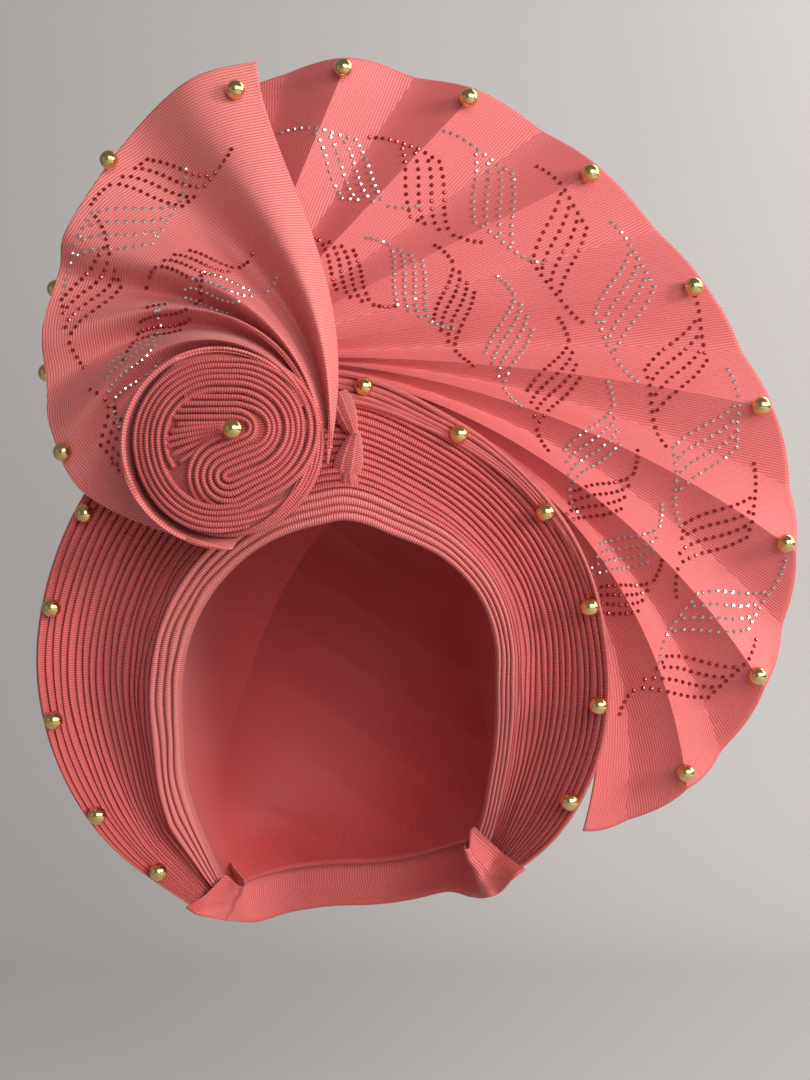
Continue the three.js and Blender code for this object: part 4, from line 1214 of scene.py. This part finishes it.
# Layers over half a leaf, the step of each, where its lip starts, and how much they twist
TUCK_LAYERS = 1.5
TUCK_STEP = 1.7
TUCK_LIP = 0.9
TUCK_TWIST = 0.12
# A leaf's width at its tips, how much its face curves back and how far back it lies, the skirt round
# its edge and where that starts, and the lean of its ribs
TUCK_TIP = 0.35
TUCK_CURVE = 2
TUCK_BACK = 0.8
TUCK_SKIRT = 9
TUCK_SKIRT_FROM = 0.93
TUCK_RIB_LEAN = 0.6
TUCK_RUN_STEPS = 44
TUCK_ACROSS_STEPS = 61


def side_tuck():
    patch = Patch()
    for x, z, length, width, lean, ahead, foot in TUCK_LEAVES:
        turn = math.radians(lean)
        v = np.linspace(-1, 1, TUCK_RUN_STEPS)[:, None]
        u = np.linspace(-1, 1, TUCK_ACROSS_STEPS)[None]
        narrow = lerp(TUCK_TIP, 1, np.sqrt(1 - v * v)) * (1 - foot * v)
        across = u * width * TUCK_WIDTH * narrow / 2
        run = v * length * TUCK_LENGTH / 2 + 0 * u
        layer = ((u + 1) * TUCK_LAYERS + TUCK_TWIST * v) % 1
        overlap = TUCK_STEP * layer * (1 - smooth((layer - TUCK_LIP) / (1 - TUCK_LIP)))
        rim = np.maximum(np.abs(u), np.abs(v)) - TUCK_SKIRT_FROM
        skirt = TUCK_SKIRT * np.clip(rim / (1 - TUCK_SKIRT_FROM), 0, 1)
        curve = TUCK_CURVE * (u * u + v * v)
        y = TUCK_BACK - ahead * BAND_AHEAD + curve - overlap + skirt
        grid = points(
            x * TUCK_LENGTH + across * math.cos(turn) - run * math.sin(turn),
            y,
            z * TUCK_LENGTH + across * math.sin(turn) + run * math.cos(turn),
        )
        patch.add(grid, run - TUCK_RIB_LEAN * np.maximum(0, across), across + 0 * run)
    return patch.build("side_tuck_leaves", "tuck_cloth", replaces=("side_tuck",))


# Beads

BEAD_HOLE = 0.55
BEAD_SIDES = 40
BEAD_RINGS = 25
# The hole's lip, and its wall as shares of the bead's and the hole's radius
BEAD_LIP = (0.1, -0.05)
BEAD_BORE = (0.7, 0.9)


def bead_mesh():
    """A drilled bead: a ball with a narrow hole along X."""
    radius = BEAD / 2
    start = math.asin(BEAD_HOLE / radius)
    turn = np.linspace(start, math.pi - start, BEAD_RINGS)
    outer = np.stack([radius * np.cos(turn), radius * np.sin(turn)], -1)
    lip = outer[-1:] + [BEAD_LIP]
    deep, wall = radius * BEAD_BORE[0], BEAD_HOLE * BEAD_BORE[1]
    profile = np.concatenate([outer, lip, [[-deep, wall], [deep, wall]]])
    spin = np.arange(BEAD_SIDES) * 2 * math.pi / BEAD_SIDES
    grid = points(profile[:, :1], profile[:, 1:] * np.cos(spin), profile[:, 1:] * np.sin(spin))
    index = np.arange(len(profile) * BEAD_SIDES).reshape(-1, BEAD_SIDES)
    return grid.reshape(-1, 3), corners(np.pad(index, (0, 1), "wrap"))


def beads():
    shape, quads = bead_mesh()
    for name in sorted(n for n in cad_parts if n.startswith("bead_")):
        low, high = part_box(name)
        centre = (np.array(low) + np.array(high)) / 2
        mesh = mesh_of(f"{name}_ball", shape * MM + centre, quads.tolist())
        finished(f"{name}_ball", mesh, gold, replaces=(name,))


# Cut stones

STONE = 2.0
STONE_HEIGHT = 0.9
STONE_CLOSEST = 2.3
STONE_LIFT = 0.02
STONE_SIDES = 8
# Rings of a stone, at its back, its widest and its table: shares of its radius and its height
STONE_RINGS = [(0.92, 0.0), (1.0, 0.35), (0.55, 1.0)]
# No stone is laid where the cloth turns away from the eye more than this
STEEPEST = 0.25
# Where the rays that find the cloth start, in metres
RAY_START = -1


def stone_shape():
    """A cut stone on a flat back: eight sides, eight crown facets and a table."""
    turn = np.arange(STONE_SIDES) * 2 * math.pi / STONE_SIDES
    rings = []
    for width, height in STONE_RINGS:
        radius = width * STONE / 2
        rings.append(points(radius * np.cos(turn), radius * np.sin(turn), height * STONE_HEIGHT))
    index = np.arange(len(STONE_RINGS) * STONE_SIDES).reshape(-1, STONE_SIDES)
    sides = corners(np.pad(index, ((0, 0), (0, 1)), "wrap")).tolist()
    faces = sides + [index[0, ::-1].tolist(), index[-1].tolist()]
    return np.concatenate(rings), faces


# A leaf sprig: its columns, half its length, the slant of its two edge rows, their tails, and how
# much the columns bow and the tails curl. Stones lie at a pitch, and closer along the edge rows
SPRIG_COLUMNS = (-8.4, -2.8, 2.8, 8.4)
SPRIG_HALF = 17.5
SPRIG_SLANT = 0.68
SPRIG_TAIL = 14
SPRIG_BOW = 0.8
SPRIG_CURL = 0.02
SPRIG_ENDS = (3, 1)
STONE_PITCH = 3.6
EDGE_PITCH = STONE_PITCH * 0.85


def sprig():
    """Stones of one leaf sprig, across and along its axis: columns between two slanting rows
    whose tails run on to the upper left and the lower right."""
    made = []
    for column in SPRIG_COLUMNS:
        middle = -SPRIG_SLANT * column
        first, last = SPRIG_ENDS[0] - SPRIG_HALF, SPRIG_HALF - SPRIG_ENDS[1]
        for along_axis in np.arange(first, last, STONE_PITCH):
            bow = SPRIG_BOW * math.sin(math.pi * along_axis / SPRIG_HALF)
            made.append((column + bow, middle + along_axis))
    edge = SPRIG_COLUMNS[-1]
    for across in np.arange(-edge, edge + SPRIG_TAIL, EDGE_PITCH):
        curl = SPRIG_CURL * max(0, across - edge) ** 2
        made.append((across, -SPRIG_SLANT * across - SPRIG_HALF + curl))
        made.append((-across, SPRIG_SLANT * across + SPRIG_HALF - curl))
    return made


# Sprigs on the fan: x, z, tilt of the axis in degrees, size, stone
FAN_SPRIGS = [
    (1.8, 140.5, 113, 1.00, "silver"),
    (37.4, 130.7, 98, 1.00, "red"),
    (69.6, 126.9, 90, 1.05, "silver"),
    (100.5, 105.4, 68, 1.05, "red"),
    (130.4, 78.8, 60, 1.05, "silver"),
    (155.2, 48.8, 45, 1.05, "red"),
    (169.2, 10.5, 36, 1.05, "silver"),
    (174.4, -28.3, 22, 1.00, "red"),
    (177.2, -66.7, 2, 1.05, "silver"),
    (162.2, -98, -8, 1.00, "red"),
    (0.9, 90.9, 108, 0.75, "red"),
    (30.3, 86.2, 96, 0.80, "silver"),
    (50.9, 75.5, 70, 0.80, "red"),
    (76.6, 59.6, 62, 0.85, "silver"),
    (97.2, 39.5, 48, 0.85, "red"),
    (115.4, 10.5, 40, 0.85, "silver"),
    (118.2, -14.3, 14, 0.80, "red"),
    (130.9, -39.1, 14, 0.80, "silver"),
    (128.1, -61, 5, 0.75, "red"),
]

# Sprigs on the swirl: x, z, tilt of the axis in degrees, size, stone
SWIRL_SPRIGS = [
    (-83, 132.2, -18, 0.95, "red"),
    (-100.8, 109.1, 8, 1.10, "silver"),
    (-116, 80.2, 48, 0.95, "red"),
    (-66, 90.4, 160, 0.70, "red"),
    (-56, 78, 160, 0.75, "silver"),
    (-80, 66, 10, 0.70, "red"),
    (-93, 46, 38, 0.80, "silver"),
    (-103, 14, 78, 0.62, "red"),
]


def lay_stones(name, host, spots, material):
    tree = BVHTree.FromObject(host, bpy.context.evaluated_depsgraph_get())
    shape, shape_faces = stone_shape()
    made, faces = [], []
    for x, z in spots:
        hit, normal, _, _ = tree.ray_cast(Vector((x * MM, RAY_START, z * MM)), Vector((0, 1, 0)))
        if hit is None or normal.y > -STEEPEST:
            continue
        turn = normal.to_track_quat("Z", "Y").to_matrix()
        base = len(made) * len(shape)
        seat = np.array(hit) + np.array(normal) * STONE_LIFT * MM
        made.append(shape * MM @ np.array(turn).T + seat)
        faces += [[base + j for j in face] for face in shape_faces]
    mesh = mesh_of(name, np.concatenate(made), faces)
    finished(name, mesh, material)
    mesh.polygons.foreach_set("use_smooth", [False] * len(mesh.polygons))


def turned(leaf, x, z, tilt, size):
    """A sprig at its place, thinned where a small size would crowd its stones."""
    angle = math.radians(tilt - 90)
    c, s = math.cos(angle) * size, math.sin(angle) * size
    placed, kept = [(x + a * c - b * s, z + a * s + b * c) for a, b in leaf], []
    for place in placed:
        if all(math.dist(place, other) > STONE_CLOSEST for other in kept):
            kept.append(place)
    return kept


# Kinds of stones: name, look and slot
STONES = [("silver", silver_stone, "clear_stone"), ("red", red_stone, "red_stone")]


def stones(host, piece, sprigs):
    leaf = sprig()
    for stone, look, slot in STONES:
        spots = []
        for *place, kind in sprigs:
            if kind == stone:
                spots += turned(leaf, *place)
        lay_stones(f"{stone}_stones_{host}", piece, spots, look)


# Stage, light and camera


STAGE_COLOURS = ((0.50, 0.475, 0.465, 1), (0.54, 0.515, 0.50, 1))
STAGE_NOISE = (1.5, 2.0)
STAGE_ROUGHNESS = 0.9
FLOOR = -430
FLOOR_NEAR = -2600
WALL = 1100
WALL_TOP = 2400
WALL_BEND = 350
BEND_STEPS = 16
STAGE_HALF = 3000
# Lights: name, place and target in metres, size in metres, watts, colour
LIGHTS = [
    ("key", (1.7, -1.15, 0.5), (0.02, -0.03, 0.02), 0.6, 28, (1.0, 0.98, 0.96)),
    ("soft_front", (0.7, -1.9, 0.6), (0.0, 0.0, 0.0), 1.2, 23, (1.0, 0.98, 0.97)),
    ("left_fill", (-1.6, -0.9, 0.1), (0.0, 0.0, 0.0), 1.2, 0.8, (0.95, 0.97, 1.0)),
    ("back_rim", (0.9, 0.7, 1.1), (0.05, 0.0, 0.05), 0.8, 5, (1, 1, 1)),
    ("wall_wash", (1.6, 0.2, 0.6), (0.3, 1.1, 0.1), 1.0, 12, (1, 1, 1)),
]
ROOM_COLOUR = (0.80, 0.79, 0.80, 1)
ROOM_STRENGTH = 0.21


def stage_material():
    material, tree, shader = new_material("pale_stage")
    tone = blend_colour(tree, noise(tree, *STAGE_NOISE), *STAGE_COLOURS)
    feed(tree, shader, [("Base Color", tone), ("Roughness", STAGE_ROUGHNESS)])
    return material


def backdrop():
    """A pale floor that curves up into a pale wall."""
    turn = np.linspace(0, math.pi / 2, BEND_STEPS)
    y = WALL - WALL_BEND * (1 - np.sin(turn))
    z = FLOOR + WALL_BEND * (1 - np.cos(turn))
    profile = np.array([(FLOOR_NEAR, FLOOR), *zip(y, z), (WALL, WALL_TOP)])
    grid = points(np.array([[-STAGE_HALF, STAGE_HALF]]), profile[:, :1], profile[:, 1:])
    index = np.arange(2 * len(profile)).reshape(-1, 2)
    mesh = mesh_of("backdrop", grid.reshape(-1, 3) * MM, corners(index).tolist())
    mesh.materials.append(stage_material())
    mesh.polygons.foreach_set("use_smooth", [True] * len(mesh.polygons))
    linked("backdrop", mesh)


def light(name, where, target, size, power, colour):
    data = bpy.data.lights.new(name, "AREA")
    data.size = size
    data.energy = power
    data.color = colour
    lamp = linked(name, data)
    lamp.location = where
    lamp.rotation_euler = (Vector(target) - Vector(where)).to_track_quat("-Z", "Y").to_euler()


def lights():
    for row in LIGHTS:
        light(*row)
    world = bpy.data.worlds.new("soft_studio")
    world.use_nodes = True
    background = world.node_tree.nodes["Background"]
    background.inputs["Color"].default_value = ROOM_COLOUR
    background.inputs["Strength"].default_value = ROOM_STRENGTH
    bpy.context.scene.world = world
    bpy.context.scene.view_settings.view_transform = "Standard"


def camera():
    data = bpy.data.cameras.new("camera")
    data.sensor_width = LONG_SENSOR
    data.lens = LENS
    data.clip_start = NEAREST_SEEN * MM
    eye = linked("camera", data)
    eye.location = [c * MM for c in EYE]
    eye.rotation_euler = (math.pi / 2, 0, 0)
    bpy.context.scene.camera = eye


camera()
lights()
backdrop()
brim_piece = brim()
band_piece = face_band()
crown_piece = crown()
nape_piece = nape_band()
fan_piece = fan()
gathers_piece = gathers()
swirl_piece = swirl()
rosette_piece = rosette()
tuck_piece = side_tuck()
beads()
stones("fan", fan_piece, FAN_SPRIGS)
stones("swirl", swirl_piece, SWIRL_SPRIGS)
